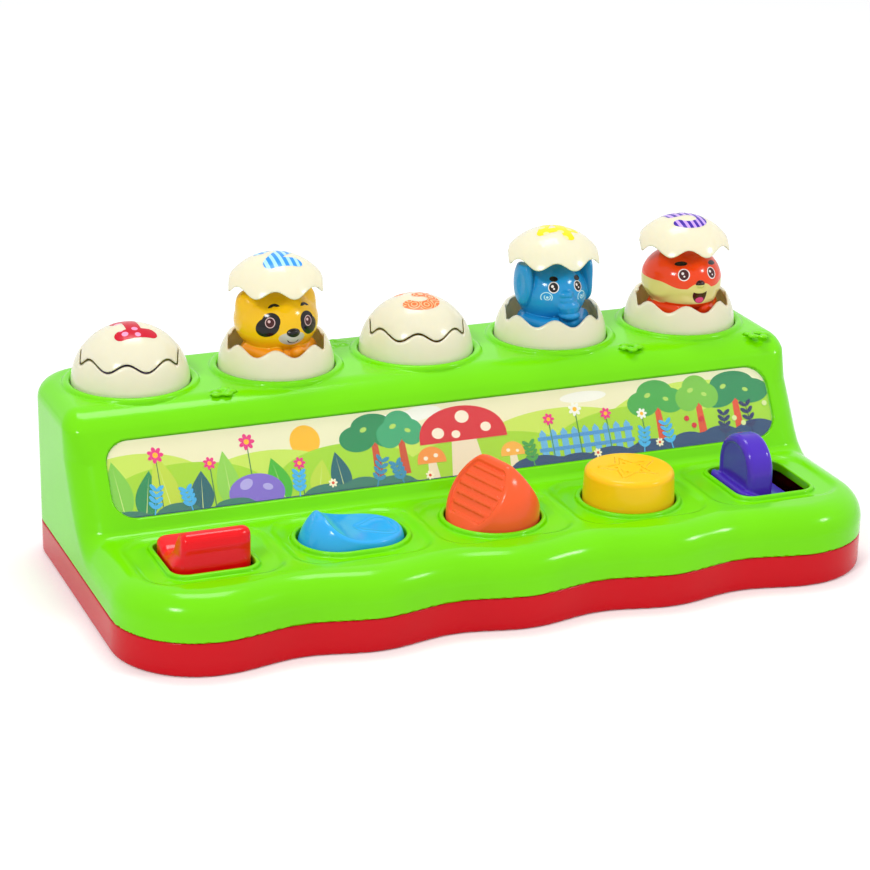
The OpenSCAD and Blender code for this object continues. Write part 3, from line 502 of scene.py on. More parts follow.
red = plastic("red_plastic", tone(205, 0, 20))
tray = moulded("tray", red_tray, (-166, -83, 0), (166, 83, 31), 1.2, red, keep=0.5)
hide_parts("base_tray")
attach(tray, "housing")

# ---------------------------------------------------------------- picture strip
# A card printed with a plain garden scene lies in the panel's recess under a clear
# moulded window. Every motif is a flat skin of ink, each laid just above the last.
card_length, card_height, card_corner = 301.0, 31.8, 9.6
card_back, card_face, ink_top, window_back, window_face = -1.7, -1.46, -1.12, -1.1, -0.3
card_middle = Vector((0, panel_foot + window_rise / math.tan(panel_lean), ledge_height + window_rise))


def around(x, y, turn, reach=1.0):
    """The point at a reach from x, y, in a direction in degrees."""
    return x + reach * math.cos(math.radians(turn)), y + reach * math.sin(math.radians(turn))


def turned(x, v, turn, points):
    """Points given along and across a direction in degrees, set down from x, v."""
    c, s = around(0, 0, turn)
    return [(x + a * c - b * s, v + a * s + b * c) for a, b in points]


def on_panel(x, v, n):
    """A point x along the panel, v up it and n out of it, in metres."""
    return (card_middle + Vector((x, v * math.cos(panel_lean) - n * math.sin(panel_lean),
                                  v * math.sin(panel_lean) + n * math.cos(panel_lean)))) / 1000


def rounded_card(grow=0.0):
    """Outline of the card, drawn larger by grow, with eight steps round each corner."""
    across, up = card_length / 2 - card_corner, card_height / 2 - card_corner
    return [around(sx * across, sv * up, first + 90 * k / 8, card_corner + grow)
            for sx, sv, first in ((1, 1, 0), (-1, 1, 90), (-1, -1, 180), (1, -1, 270)) for k in range(9)]


def trimmed(points):
    """The part of a motif that lies on the card; the card's outline is convex."""
    edge = rounded_card(-0.05)
    for (a, b), (c, d) in zip(edge, edge[1:] + edge[:1]):
        kept = []
        for (x, v), (s, t) in zip(points, points[1:] + points[:1]):
            here = (c - a) * (v - b) - (d - b) * (x - a)
            there = (c - a) * (t - b) - (d - b) * (s - a)
            if here >= 0:
                kept.append((x, v))
            if (here >= 0) != (there >= 0):
                share = here / (here - there)
                kept.append((x + share * (s - x), v + share * (t - v)))
        points = kept
        if not points:
            break
    return points


def plate(form, points, low, high, colour):
    """A flat plate with straight sides; its corners carry its colour."""
    ink_layer = form.loops.layers.float_color.get("ink")
    if sum(a[0] * b[1] - b[0] * a[1] for a, b in zip(points, points[1:] + points[:1])) < 0:
        points = points[::-1]
    foot, top = ([form.verts.new(on_panel(x, v, n)) for x, v in points] for n in (low, high))
    sides = zip(foot, foot[1:] + foot[:1], top[1:] + top[:1], top)
    for outline in (top, foot[::-1], *sides):
        for corner in form.faces.new(outline).loops:
            corner[ink_layer] = (*colour, 1)


motifs = []


def motif(points, colour):
    motifs.append((points, tone(*colour)))


def oval(x, v, wide, tall, colour, turn=0.0, steps=28):
    rim = (2 * math.pi * k / steps for k in range(steps))
    motif(turned(x, v, turn, [(wide * math.cos(t), tall * math.sin(t)) for t in rim]), colour)


def leaf(x, v, length, width, turn, colour, vein):
    """A pointed leaf growing from x, v in a direction, with a pale midrib."""
    side = [(length * k / 10, width * math.sin(math.pi * (k / 10) ** 0.8) / 2) for k in range(11)]
    motif(turned(x, v, turn, side + [(a, -b) for a, b in side[::-1][1:-1]]), colour)
    rib = ((length * 0.06, -0.18), (length * 0.9, 0), (length * 0.06, 0.18))
    motif(turned(x, v, turn, rib), vein)


def hills(base, rises, colour):
    """Ground whose top edge is a row of rounded humps: (centre, half width, rise)."""
    line = [(x, max(base + h * math.sqrt(max(0, 1 - ((x - c) / w) ** 2)) for c, w, h in rises))
            for x in (-152 + 304 * k / 120 for k in range(121))]
    motif([(-152, -18), (152, -18)] + line[::-1], colour)


def fern(x, v, tall, turn, colour):
    """A stem with round leaflets in pairs."""
    motif(turned(x, v, turn, ((0, 0.3), (tall, 0), (0, -0.3))), colour)
    for k in range(4):
        stem = around(x, v, turn, tall * (0.25 + 0.22 * k))
        for out in (turn - 48, turn + 48):
            oval(*around(*stem, out, 1.9), 1.9, 0.85, colour, out, 14)


def daisy(x, v, r, colour, heart):
    for turn in (360 * k / 7 for k in range(7)):
        oval(*around(x, v, turn, r * 0.62), r * 0.42, r * 0.26, colour, turn, 14)
    oval(x, v, r * 0.34, r * 0.34, heart, 0, 16)


def stalk(x, foot, head, low, high, colour):
    """An upright strip, of half width foot below and head above."""
    motif([(x - foot, low), (x + foot, low), (x + head, high), (x - head, high)], colour)


def toadstool(x, v, wide, tall, cap_colour, dots):
    stalk(x, wide * 0.20, wide * 0.13, v, v + tall * 0.6, (245, 228, 196))
    turns = [math.pi * k / 20 for k in range(21)]
    motif([(x + wide / 2 * math.cos(t), v + tall / 2 * (1 + math.sin(t) ** 0.8)) for t in turns], cap_colour)
    for a, b, r in dots:
        oval(x + a * wide, v + tall * 0.5 + b * tall, r * wide, r * wide * 0.85, (255, 240, 215), 0, 16)


sky_cream, lime, grass, deep_green = (244, 238, 196), (168, 218, 20), (60, 184, 20), (0, 138, 76)
teal, night_blue, leaf_blue = (0, 96, 104), (8, 62, 112), (60, 180, 240)
pink, coral = (240, 30, 130), (230, 72, 16)
lilac, sun_yellow, scarlet, trunk_brown = (132, 104, 208), (255, 190, 0), (220, 0, 28), (208, 70, 16)
oval(-20, 12, 12, 2.6, (250, 248, 236))
oval(-12, 13.4, 8, 2.4, (250, 248, 236))
oval(62, 11.5, 11, 2.4, (250, 248, 236))
oval(-66, 7, 6.6, 6.6, sun_yellow)
hills(-9, [(-140, 34, 19), (-84, 32, 14), (-20, 46, 15), (48, 42, 17), (112, 46, 22)],
      (206, 232, 84))
hills(-11, [(-120, 36, 15), (-50, 32, 15), (14, 38, 12), (84, 42, 16), (146, 32, 20)], lime)
for x, wide, crown, trunk in ((-36, 13, deep_green, trunk_brown), (-24, 9, (52, 168, 110), trunk_brown),
                              (96, 12, (60, 170, 60), coral), (134, 15, deep_green, coral),
                              (116, 9, (120, 196, 50), coral)):
    stalk(x, 2.0, 1.3, -12, 4, trunk)
    for dx, dv, share in ((-0.55, 5, 0.62), (0.55, 5.4, 0.60), (0, 9.5, 0.72)):
        oval(x + dx * wide, dv, wide * share, 5.6, crown)
    oval(x - wide * 0.3, 8.6, 1.6, 1.0, (180, 220, 90), 20, 14)
    oval(x + wide * 0.4, 6.2, 1.4, 0.9, (180, 220, 90), -20, 14)
for leaf_at in ((-146, -17, 25, 11, 96, (130, 205, 60)), (-138, -18, 21, 10, 78, deep_green),
                (-126, -18, 27, 11, 99, (196, 220, 50)), (-114, -18, 18, 10, 84, teal),
                (-101, -18, 25, 10, 92, (146, 212, 70)), (-78, -18, 20, 10, 101, grass),
                (-64, -18, 17, 9, 76, (196, 220, 50)), (-52, -18, 19, 9, 96, teal)):
    leaf(*leaf_at, (226, 240, 150))
for x, v, size in ((-130, 8.5, 3.4), (-108, 2.5, 2.7), (-91, 9.5, 3.4), (-70, -2, 2.6)):
    stalk(x, 0.25, 0.2, -16, v, (70, 130, 70))
    daisy(x, v, size, pink, sun_yellow)
oval(-90, -12, 12, 8, lilac)
oval(-94, -8, 3, 2.1, (182, 168, 232), 25, 18)
oval(-85, -10, 2.2, 1.4, (182, 168, 232), -15, 18)
hills(-16, [(-146, 10, 3), (-124, 9, 4), (-100, 9, 3), (-60, 10, 4), (-44, 9, 5), (-30, 10, 4)],
      (46, 120, 100))
toadstool(4, -16, 40, 30, scarlet,
          ((-0.28, 0.14, 0.07), (0.02, 0.34, 0.08), (0.27, 0.16, 0.06), (-0.08, 0.1, 0.05)))
toadstool(-12, -16, 13, 14, (250, 150, 50), ((-0.2, 0.16, 0.08), (0.16, 0.22, 0.08)))
toadstool(25, -16, 11, 12, (250, 180, 60), ((-0.18, 0.2, 0.08), (0.2, 0.15, 0.07)))
for x in range(40, 81, 5):
    motif([(x - 1.5, -13), (x + 1.5, -13), (x + 1.5, -2.6), (x, -0.8), (x - 1.5, -2.6)], (104, 182, 232))
for v in (-10.5, -5.5):
    motif([(37.5, v), (82.5, v), (82.5, v + 1.6), (37.5, v + 1.6)], (70, 150, 215))
for x, v, size, colour in ((44, 3.5, 2.6, pink), (57, 6.5, 3.0, (250, 250, 240)), (71, 3, 2.6, pink),
                           (88, 1, 2.4, (250, 250, 240))):
    stalk(x, 0.25, 0.2, -14, v, (60, 140, 60))
    daisy(x, v, size, colour, sun_yellow)
hills(-15.5, [(36, 12, 4), (54, 9, 3), (70, 10, 4), (90, 11, 5), (108, 10, 6), (124, 11, 7), (142, 12, 8)],
      night_blue)
for fern_at in ((-134, -16, 11, 78, leaf_blue), (-118, -16, 9, 100, leaf_blue), (-72, -16, 10, 84, leaf_blue),
                (-38, -16, 12, 70, (40, 140, 180)), (-26, -16, 9, 104, (40, 140, 180)),
                (34, -16, 10, 96, (60, 160, 60)), (86, -16, 10, 80, leaf_blue), (100, -16, 12, 98, leaf_blue),
                (126, -15, 12, 84, (16, 40, 96)), (140, -14, 14, 96, (6, 30, 92))):
    fern(*fern_at)
for x, v in ((112, -7), (116, -4.6), (109, -3.6), (132, -6), (136, -8.6), (148, -1)):
    oval(x, v, 1.2, 1.2, scarlet if x < 120 else (226, 236, 160), 0, 14)
for x, v in ((-57, -12), (-14, -14), (18, -14.5), (64, -13.6), (94, -12.5)):
    daisy(x, v, 1.9, (255, 246, 210), coral)



def strip_piece(name, form, look, node):
    """Sets a finished form in the panel as a piece of its own, in place of a frame node."""
    mesh = bpy.data.meshes.new(name)
    form.to_mesh(mesh)
    form.free()
    mesh.materials.append(look)
    piece = bpy.data.objects.new(name, mesh)
    scene.collection.objects.link(piece)
    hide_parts(node)
    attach(piece, "housing")


card_form = bmesh.new()
card_form.loops.layers.float_color.new("ink")
plate(card_form, rounded_card(), card_back, card_face, tone(*sky_cream))
for k, (points, colour) in enumerate(motifs):
    points = trimmed(points)
    if len(points) > 2:
        ink_height = card_face + (ink_top - card_face) * (k + 1) / len(motifs)
        plate(card_form, points, card_face - 0.02, ink_height, colour)
card_look = plastic("printed_card", tone(*sky_cream), gloss=0.30, cloud=0.05)
card_tree = card_look.node_tree
card_ink = add(card_tree, "Attribute")
card_ink.attribute_name = "ink"
card_tree.links.new(card_ink.outputs["Color"], card_tree.nodes["plastic"].inputs["Color"])
card_tree.nodes["Principled BSDF"].inputs["Coat Weight"].default_value = 0.15
card_tree.nodes["Principled BSDF"].inputs["Coat Roughness"].default_value = 0.08
strip_piece("picture", card_form, card_look, "picture_card")

window_form = bmesh.new()
window_form.loops.layers.float_color.new("ink")
plate(window_form, rounded_card(), window_back, window_face, (1, 1, 1))
facing = on_panel(0, 0, 1000) - on_panel(0, 0, 0)
front_rim = [e for e in window_form.edges if e.calc_face_angle(0) > 1.0
             and all((v.co - card_middle / 1000).dot(facing) > -0.0007 for v in e.verts)]
bmesh.ops.bevel(window_form, geom=front_rim, offset=0.0003, segments=2, affect="EDGES")
window_look = plastic("clear_plastic", (0.9, 0.95, 0.92), gloss=0.03, cloud=0.02, peel=0.01, sheen=0.5)
window_look.node_tree.nodes["Principled BSDF"].inputs["Alpha"].default_value = 0.03
strip_piece("window", window_form, window_look, "picture_window")

# ---------------------------------------------------------------- cracked eggs
# Five cream plastic eggs, each moulded as a fixed shell and a loose cap that meet
# in a wavy crack; the shell's flange is held under the deck, the cap sits on a boss
# on the figure's head. Eggs 2, 4 and 5 stand open.
crack_turn = math.radians(-19)
rim_height, crack_height, tooth_height, crack_gap = 14.5, 11.4, 1.6, 0.8
crack_radius = math.sqrt(egg_radius ** 2 - crack_height ** 2)
crack_half = crack_radius * math.sin(math.radians(66))
crown_height, boss_top, boss_half = 10.2, 22.6, 6
tooth_steep, cap_inset = 0.87, 0.06
flange_width, flange_drop, flange_half = 2.6, 3.0, 0.75
flange_front, flange_back, shell_foot = -21.3, 23, -3.8
lifts = (0.0, 24.6, 0.0, 24.6, 24.6)
animals = ("hippo", "panda", "lion", "elephant", "fox")


def crack_parts(p):
    """Toothed crack height in front, and how far a point is outside the toothed front."""
    u = p[:, 0] * math.cos(crack_turn) + p[:, 1] * math.sin(crack_turn)
    v = -p[:, 0] * math.sin(crack_turn) + p[:, 1] * math.cos(crack_turn)
    angle = np.degrees(np.arcsin(np.clip(u / crack_radius, -1, 1)))
    return crack_height + tooth_height * np.cos(np.radians(360 * angle / 44)), np.abs(u), v


def hollow_egg(p):
    """An egg's wall: round above the deck, straight below it."""
    across = np.hypot(p[:, 0], p[:, 1])
    out = np.where(p[:, 2] > 0, np.hypot(across, p[:, 2]), across)
    return np.maximum(out - egg_radius, egg_radius - egg_wall - out), across


def egg_shell(p):
    wall, across = hollow_egg(p)
    z = p[:, 2]
    crack, aside, behind = crack_parts(p)
    outside_front = -np.maximum(aside - crack_half, behind)
    below = rounded_or(tooth_steep * (z - crack), rounded_and(z - rim_height, outside_front, 0.5), 0.5)
    flange = np.maximum(across - egg_radius - flange_width, egg_radius - egg_wall - across)
    flange = np.maximum(flange, np.abs(z + flange_drop) - flange_half)
    flange = np.maximum(flange, np.maximum(flange_front - p[:, 1], p[:, 1] - flange_back))
    return rounded_or(rounded_and(rounded_and(wall, below, 0.55), shell_foot - z, 0.3), flange, 0.4)


def egg_cap(p):
    wall, across = hollow_egg(p)
    z = p[:, 2]
    crack, aside, behind = crack_parts(p)
    in_front = np.maximum(aside - crack_half + 0.4, behind + 0.4)
    teeth = rounded_and(tooth_steep * (crack + crack_gap - z), in_front, 0.5)
    above = rounded_or(rim_height + crack_gap - z, teeth, 0.5)
    boss = np.maximum(np.maximum(across - boss_half, crown_height - z), z - boss_top)
    return rounded_or(rounded_and(wall + cap_inset, above, 0.6), boss, 0.8)


cream = plastic("cream_plastic", tone(240, 230, 198), gloss=0.10, cloud=0.04, sheen=0.35)
thin_wall = cream.node_tree.nodes["Principled BSDF"]
thin_wall.inputs["Subsurface Weight"].default_value = 0.35
thin_wall.inputs["Subsurface Radius"].default_value = (1.0, 0.8, 0.5)
thin_wall.inputs["Subsurface Scale"].default_value = 0.006
first_shell = moulded("egg_shell_shape", egg_shell, (-28, -28, -4), (28, 28, 15), 0.55, cream, keep=0.6)
first_cap = moulded("egg_cap_shape", egg_cap, (-25, -25, 9), (25, 25, 25), 0.55, cream, keep=0.6)
for piece in (first_shell, first_cap):
    scene.collection.objects.unlink(piece)


def at_egg(name, mesh, i, body, lifted):
    """A piece on egg i's axis, at the deck's height, raised with its figure if lifted."""
    piece = bpy.data.objects.new(name, mesh)
    piece.location = ((i - 2) * egg_pitch / 1000, egg_line / 1000, (deck_height + lifted * lifts[i]) / 1000)
    scene.collection.objects.link(piece)
    bpy.context.view_layer.update()
    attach(piece, body)
    return piece


for i, animal in enumerate(animals):
    shell = at_egg(f"shell_{i + 1}", first_shell.data, i, "housing", 0)
    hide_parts(f"egg_shell_{i + 1}")
    cap = at_egg(f"cap_{i + 1}", first_cap.data, i, f"{animal}_lift", 1)
    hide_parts(f"egg_cap_{i + 1}")
for piece in (first_shell, first_cap):
    bpy.data.objects.remove(piece)

# ---------------------------------------------------------------- printed numbers
# The numbers 1 to 5 are pad-printed on top of the caps, each in its own pattern:
# dots, stripes, rings and spots. The ink is a thin skin that follows the dome.
ink_lift, ink_skin, ink_step, ink_width, ink_length = -0.01, 0.05, 0.7, 20, 26


def ink(name, first, second, pattern, scale):
    """Glossy printing ink in two colours that follow a pattern, seen straight from above."""
    look = plastic(name, first, gloss=0.16, cloud=0.03)
    tree = look.node_tree
    where = add(tree, "TexCoord").outputs["Object"]
    flat = add(tree, "VectorMath", {0: where, 1: (1, 1, 0)}, "MULTIPLY").outputs[0]
    if pattern == "stripes":
        value = add(tree, "TexWave", {"Vector": flat, "Scale": scale, "Distortion": 0.0}).outputs["Fac"]
    else:
        cells = add(tree, "TexVoronoi", {"Vector": flat, "Scale": scale, "Randomness": 0.55})
        value = cells.outputs["Distance"]
    if pattern == "rings":
        value = add(tree, "Math", {0: value, 1: 0.1}, "PINGPONG").outputs[0]
    start, end = {"stripes": (0.42, 0.50), "dots": (0.33, 0.30), "rings": (0.065, 0.08)}[pattern]
    edge = add(tree, "MapRange", {"Value": value, "From Min": start, "From Max": end})
    mix = add(tree, "Mix")
    mix.data_type = "RGBA"
    mix.inputs["A"].default_value = (*first, 1)
    mix.inputs["B"].default_value = (*second, 1)
    tree.links.new(edge.outputs["Result"], mix.inputs["Factor"])
    tree.links.new(mix.outputs["Result"], tree.nodes["plastic"].inputs["Color"])
    return look


inks = (ink("ink_red_dots", tone(205, 0, 40), tone(255, 160, 200), "dots", 190),
        ink("ink_blue_stripes", tone(175, 228, 255), tone(45, 150, 245), "stripes", 95),
        ink("ink_orange_rings", tone(255, 120, 60), tone(255, 205, 150), "rings", 190),
        ink("ink_yellow_spots", tone(255, 226, 0), tone(244, 238, 150), "dots", 170),
        ink("ink_purple_stripes", tone(205, 165, 255), tone(66, 30, 160), "stripes", 105))


def arc(x, y, wide, tall, first, last, count=14):
    """Points along part of an oval, from one turn to another in degrees."""
    turns = np.radians(np.linspace(first, last, count))
    return [(x + wide * c, y + tall * s) for c, s in zip(np.cos(turns), np.sin(turns))]


# Each number as strokes: points along the middle of a stroke, then its half width.
number_strokes = (
    (([(0.4, -7), (0.4, 8)], 3.1), ([(-4.6, 4.6), (-3.2, 5.6), (-0.4, 8)], 2.6),
     ([(-5.6, -8), (6.4, -8)], 3.0)),
    ((arc(0, 4.4, 5.2, 4.2, 165, -38) + [(-5.0, -7.2)], 2.9), ([(-5.0, -8), (5.8, -8)], 3.0)),
    ((arc(-0.4, 4.9, 5.6, 4.4, 155, -80), 2.2), (arc(-0.4, -4.7, 6.2, 4.8, 84, -158), 2.6)),
    (([(1.6, 9.0), (-7.2, -3.4), (8.2, -3.4)], 2.1), ([(3.2, 9.0), (3.2, -9.4)], 2.4)),
    (([(5.8, 9.0), (-4.6, 9.0), (-5.2, 1.8)] + arc(-0.2, -3.8, 6.4, 5.6, 118, -152, 18), 2.3),))


def stroke_edge(x, y, strokes):
    """Distance outside a number's strokes, negative on the ink."""
    edge = np.full(x.shape, 99.0)
    for line, half in strokes:
        for (a, b), (c, d) in zip(line, line[1:]):
            share = np.clip(((x - a) * (c - a) + (y - b) * (d - b)) / ((c - a) ** 2 + (d - b) ** 2), 0, 1)
            edge = np.minimum(edge, np.hypot(x - a - share * (c - a), y - b - share * (d - b)) - half)
    return edge


def number_skin(i):
    """The number cut out of a fine net of triangles, laid on the dome and given its thickness."""
    columns, rows = int(ink_width / ink_step), int(ink_length / ink_step)
    x, y = np.meshgrid((np.arange(columns + 1) - columns / 2) * ink_step,
                       (np.arange(rows + 1) - rows / 2) * ink_step)
    edge = stroke_edge(x, y, number_strokes[i])
    form = bmesh.new()
    made = {}

    def corner(key, place):
        if key not in made:
            made[key] = form.verts.new((*place, 0))
        return made[key]

    for row in range(rows):
        for col in range(columns):
            a, b, c, d = (row, col), (row, col + 1), (row + 1, col + 1), (row + 1, col)
            for three in ((a, b, c), (a, c, d)):
                outline = []
                for p, q in zip(three, three[1:] + three[:1]):
                    if edge[p] < 0:
                        outline.append(corner(p, (x[p], y[p])))
                    if (edge[p] < 0) != (edge[q] < 0):
                        share = edge[p] / (edge[p] - edge[q])
                        place = (x[p] + share * (x[q] - x[p]), y[p] + share * (y[q] - y[p]))
                        outline.append(corner((min(p, q), max(p, q)), place))
                if len(outline) > 2:
                    form.faces.new(outline)
    bmesh.ops.remove_doubles(form, verts=form.verts[:], dist=0.04)
    radius = egg_radius + ink_lift
    for v in form.verts:
        v.co = Vector((v.co.x, v.co.y, math.sqrt(radius ** 2 - v.co.x ** 2 - v.co.y ** 2))) / 1000
    rim = bmesh.ops.extrude_face_region(form, geom=form.faces[:])
    for v in (g for g in rim["geom"] if isinstance(g, bmesh.types.BMVert)):
        v.co *= 1 - (ink_skin + cap_inset + ink_lift) / egg_radius
    bmesh.ops.recalc_face_normals(form, faces=form.faces[:])
    mesh = bpy.data.meshes.new(f"number_{i + 1}")
    form.to_mesh(mesh)
    form.free()
    mesh.materials.append(inks[i])
    mesh.polygons.foreach_set("use_smooth", np.ones(len(mesh.polygons), bool))
    mesh.set_sharp_from_angle(angle=math.radians(50))
    return mesh


for i, animal in enumerate(animals):
    number = at_egg(f"number_{i + 1}", number_skin(i), i, f"{animal}_lift", 1)

# ---------------------------------------------------------------- animal figures
# Five hollow-moulded animals, each head and body in its own coloured plastic, with
# arms on the chest. Faces are pad-printed; noses, ears, trunk and mane are moulded.
# Sizes are from the egg's axis at the deck's height; the head's centre is just below it.
head_centre, head_half_width, head_half_height = -3.8, 18.0, 14.4
shoulder_height, figure_foot, torso_radius = -12.8, -34.0, 15.2


def ball(p, centre, radii):
    """Near-distance from an egg-shaped ball."""
    q = (p - np.array(centre)) / np.array(radii)
    far = np.linalg.norm(q, axis=1)
    return far * (far - 1) / np.maximum(np.linalg.norm(q / np.array(radii), axis=1), 1e-9)


def rod(p, a, b, r):
    """Distance from a round-ended rod."""
    a, b = np.array(a, float), np.array(b, float)
    share = np.clip((p - a) @ (b - a) / ((b - a) @ (b - a)), 0, 1)
    return np.linalg.norm(p - a - share[:, None] * (b - a), axis=1) - r


def on_head(turn, height):
    """Point on the head, turned from the front, at a height over the head's centre."""
    reach = head_half_width * math.sqrt(1 - (height / head_half_height) ** 2)
    return (reach * math.sin(math.radians(turn)), -reach * math.cos(math.radians(turn)), head_centre + height)


def figure_body(p, head):
    """Shoulders, arms and stem below the given head, cut flat at the crown for the cap."""
    across = np.hypot(p[:, 0], p[:, 1])
    body = rounded_and(across - torso_radius, p[:, 2] - shoulder_height, 5.0)
    body = rounded_and(body, figure_foot - p[:, 2], 0.5)
    arm, hand = shoulder_height - 3.4, shoulder_height - 2.4
    for s in (-1, 1):
        body = rounded_or(body, rod(p, (s * 13.2, -3.2, arm), (s * 7.4, -12.4, arm - 0.4), 3.7), 0.9)
        body = rounded_or(body, rod(p, (s * 6.0, -13.9, arm), (s * 4.6, -14.2, hand), 3.2), 0.7)
    return rounded_and(rounded_or(body, head, 0.8), p[:, 2] - crown_height, 0.5)


def round_head(p, half=head_half_width):
    """The plain round head that each animal starts from."""
    return ball(p, (0, 0, head_centre), (half, half, head_half_height))


def add_balls(head, p, *balls):
    """Adds balls to a head: centre from the head's centre, half sizes, fillet."""
    for (x, y, z), radii, fillet in balls:
        head = rounded_or(head, ball(p, (x, y, head_centre + z), radii), fillet)
    return head


def hippo(p):
    head = add_balls(round_head(p), p, ((0, -6.2, -5), (11.6, 11.6, 6.5), 2.5))
    for s in (-1, 1):
        ear = np.array(on_head(s * 55, 8))
        head = rounded_or(head, ball(p, on_head(s * 14, 3), (1.9, 1.6, 1.6)), 0.8)
        head = rounded_or(head, ball(p, ear, (3, 3, 3)), 0.8)
        head = rounded_and(head, -ball(p, ear * (1.16, 1.16, 1), (1.6, 1.6, 1.8)), 0.5)
    return figure_body(p, head)


def panda(p):
    head = add_balls(round_head(p), p, ((1.3, -13.9, -3.2), (5.4, 4.9, 3.7), 2.2),
                     ((1.5, -18.2, -1.2), (2.5, 1.3, 1.4), 0.5),
                     ((-12.4, 0.4, 8.2), (5.0, 5.0, 5.4), 3.0), ((12.4, 0.4, 8.2), (5.0, 5.0, 5.4), 3.0))
    return figure_body(p, head)


def lion(p):
    head = add_balls(round_head(p, 16.4), p, ((0, -12.6, -5), (4.6, 4.4, 3.8), 1.8),
                     ((0, -16.8, -3.2), (2.2, 1.2, 1.3), 0.5))
    for k in range(10):
        turn = math.radians(36 * k)
        x, z = 13.2 * math.sin(turn), head_centre + 13.2 * math.cos(turn)
        head = rounded_or(head, rod(p, (x, -9.2, z), (x, -6.8, z), 3.3), 0.7)
    return figure_body(p, head)


def elephant(p):
    head = ball(p, (0, 0.6, head_centre), (15.8, 16.4, head_half_height))
    for k in range(5):
        share = k / 4
        ring = (0.2 + 2.4 * share, -13.2 - share, 2.0 - 9.6 * share)
        head = add_balls(head, p, (ring, (4.0 + 0.9 * share, 4.2, 2.4), 0.4))
    head = add_balls(head, p, ((1.6, -15.2, -3.4), (5.0, 3.2, 2.8), 0.6))
    for s in (-1, 1):
        ear = rounded_and(ball(p, (s * 14.8, -2.6, head_centre + 5.4), (3.6, 7.2, 10.6)),
                          -ball(p, (s * 18.6, -6.4, head_centre + 5.6), (2.0, 3.4, 6.0)), 0.8)
        head = rounded_or(head, rounded_and(ear, np.hypot(p[:, 0], p[:, 1]) - head_half_width, 0.8), 0.6)
    return figure_body(p, head)


def fox(p):
    head = add_balls(round_head(p), p, ((-12.0, -5.6, -1.8), (5.6, 5.6, 4.0), 2.4),
                     ((12.0, -5.6, -1.8), (5.6, 5.6, 4.0), 2.4), ((0.4, -4.6, -6.4), (13.6, 13.2, 7.4), 1.2))
    head = rounded_and(head, np.hypot(p[:, 0], p[:, 1]) - head_half_width, 0.6)
    head = add_balls(head, p, ((0.4, -14.6, -1.4), (4.6, 3.7, 3.6), 2.6),
                     ((0.4, -18.3, 1.2), (1.9, 1.2, 1.6), 0.4))
    return figure_body(p, head)


def print_effect():
    """Mask of one printed spot: an oval on the skin, with an optional hollow middle and a straight cut."""
    group, given, out = effect_group(
        "printed_spot", (("Centre", "V"), ("Across", "V"), ("Up", "V"), ("Out", "V"),
                         ("Hollow", "F"), ("Cut", "F"), ("Soft", "F")), (("Mask", "F"),))

    def number(operation, a, b=0.0):
        return add(group, "Math", {0: a, 1: b}, operation).outputs[0]

    def step_up(value, at):
        """0 below the value at, 1 above it, with the spot's own soft edge."""
        slope = number("DIVIDE", number("SUBTRACT", value, at), given["Soft"])
        return number("MINIMUM", number("MAXIMUM", slope), 1.0)

    where = add(group, "TexCoord").outputs["Object"]
    place = add(group, "VectorMath", {0: where, 1: given["Centre"]}, "SUBTRACT").outputs["Vector"]
    u, v, w = (add(group, "VectorMath", {0: place, 1: given[name]}, "DOT_PRODUCT").outputs["Value"]
               for name in ("Across", "Up", "Out"))
    far = number("SQRT", number("ADD", number("MULTIPLY", u, u), number("MULTIPLY", v, v)))
    disc = number("SUBTRACT", 1.0, step_up(far, 1.0))
    ring = number("MULTIPLY", disc, step_up(far, given["Hollow"]))
    part = number("MULTIPLY", ring, step_up(v, given["Cut"]))
    group.links.new(number("MULTIPLY", part, number("GREATER_THAN", w, -0.005)), out["Mask"])
    return group


printed_spot, print_edge = print_effect(), 0.12


def paint(look, mask, colour):
    """Lays a colour over the look's plastic wherever mask is 1."""
    tree = look.node_tree
    target = tree.nodes["Principled BSDF"].inputs["Base Color"]
    mix = add(tree, "Mix")
    mix.data_type = "RGBA"
    mix.inputs["B"].default_value = (*colour, 1)
    tree.links.new(target.links[0].from_socket, mix.inputs["A"])
    tree.links.new(mask, mix.inputs["Factor"])
    tree.links.new(mix.outputs["Result"], target)


def spot(look, centre, size, colour, roll=0.0, hollow=-1.0, cut=-9.0, flip=1):
    """Prints an oval of half sizes in mm at a point given from the head's centre."""
    radii = np.array((head_half_width, head_half_width, head_half_height))
    centre = np.array(centre, float)
    out = centre / radii ** 2
    out /= np.linalg.norm(out)
    across = np.cross((0, 0, 1), out)
    across /= np.linalg.norm(across)
    up = np.cross(out, across)
    c, s = math.cos(math.radians(roll)), math.sin(math.radians(roll))
    across, up = across * c + up * s, up * c - across * s
    node = add(look.node_tree, "Group")
    node.node_tree = printed_spot
    values = {"Centre": (centre + (0, 0, head_centre)) / 1000, "Across": across * 1000 / size[0],
              "Up": flip * up * 1000 / size[1], "Out": out, "Hollow": hollow, "Cut": cut,
              "Soft": print_edge / min(size)}
    for name, value in values.items():
        node.inputs[name].default_value = value
    paint(look, node.outputs["Mask"], colour)


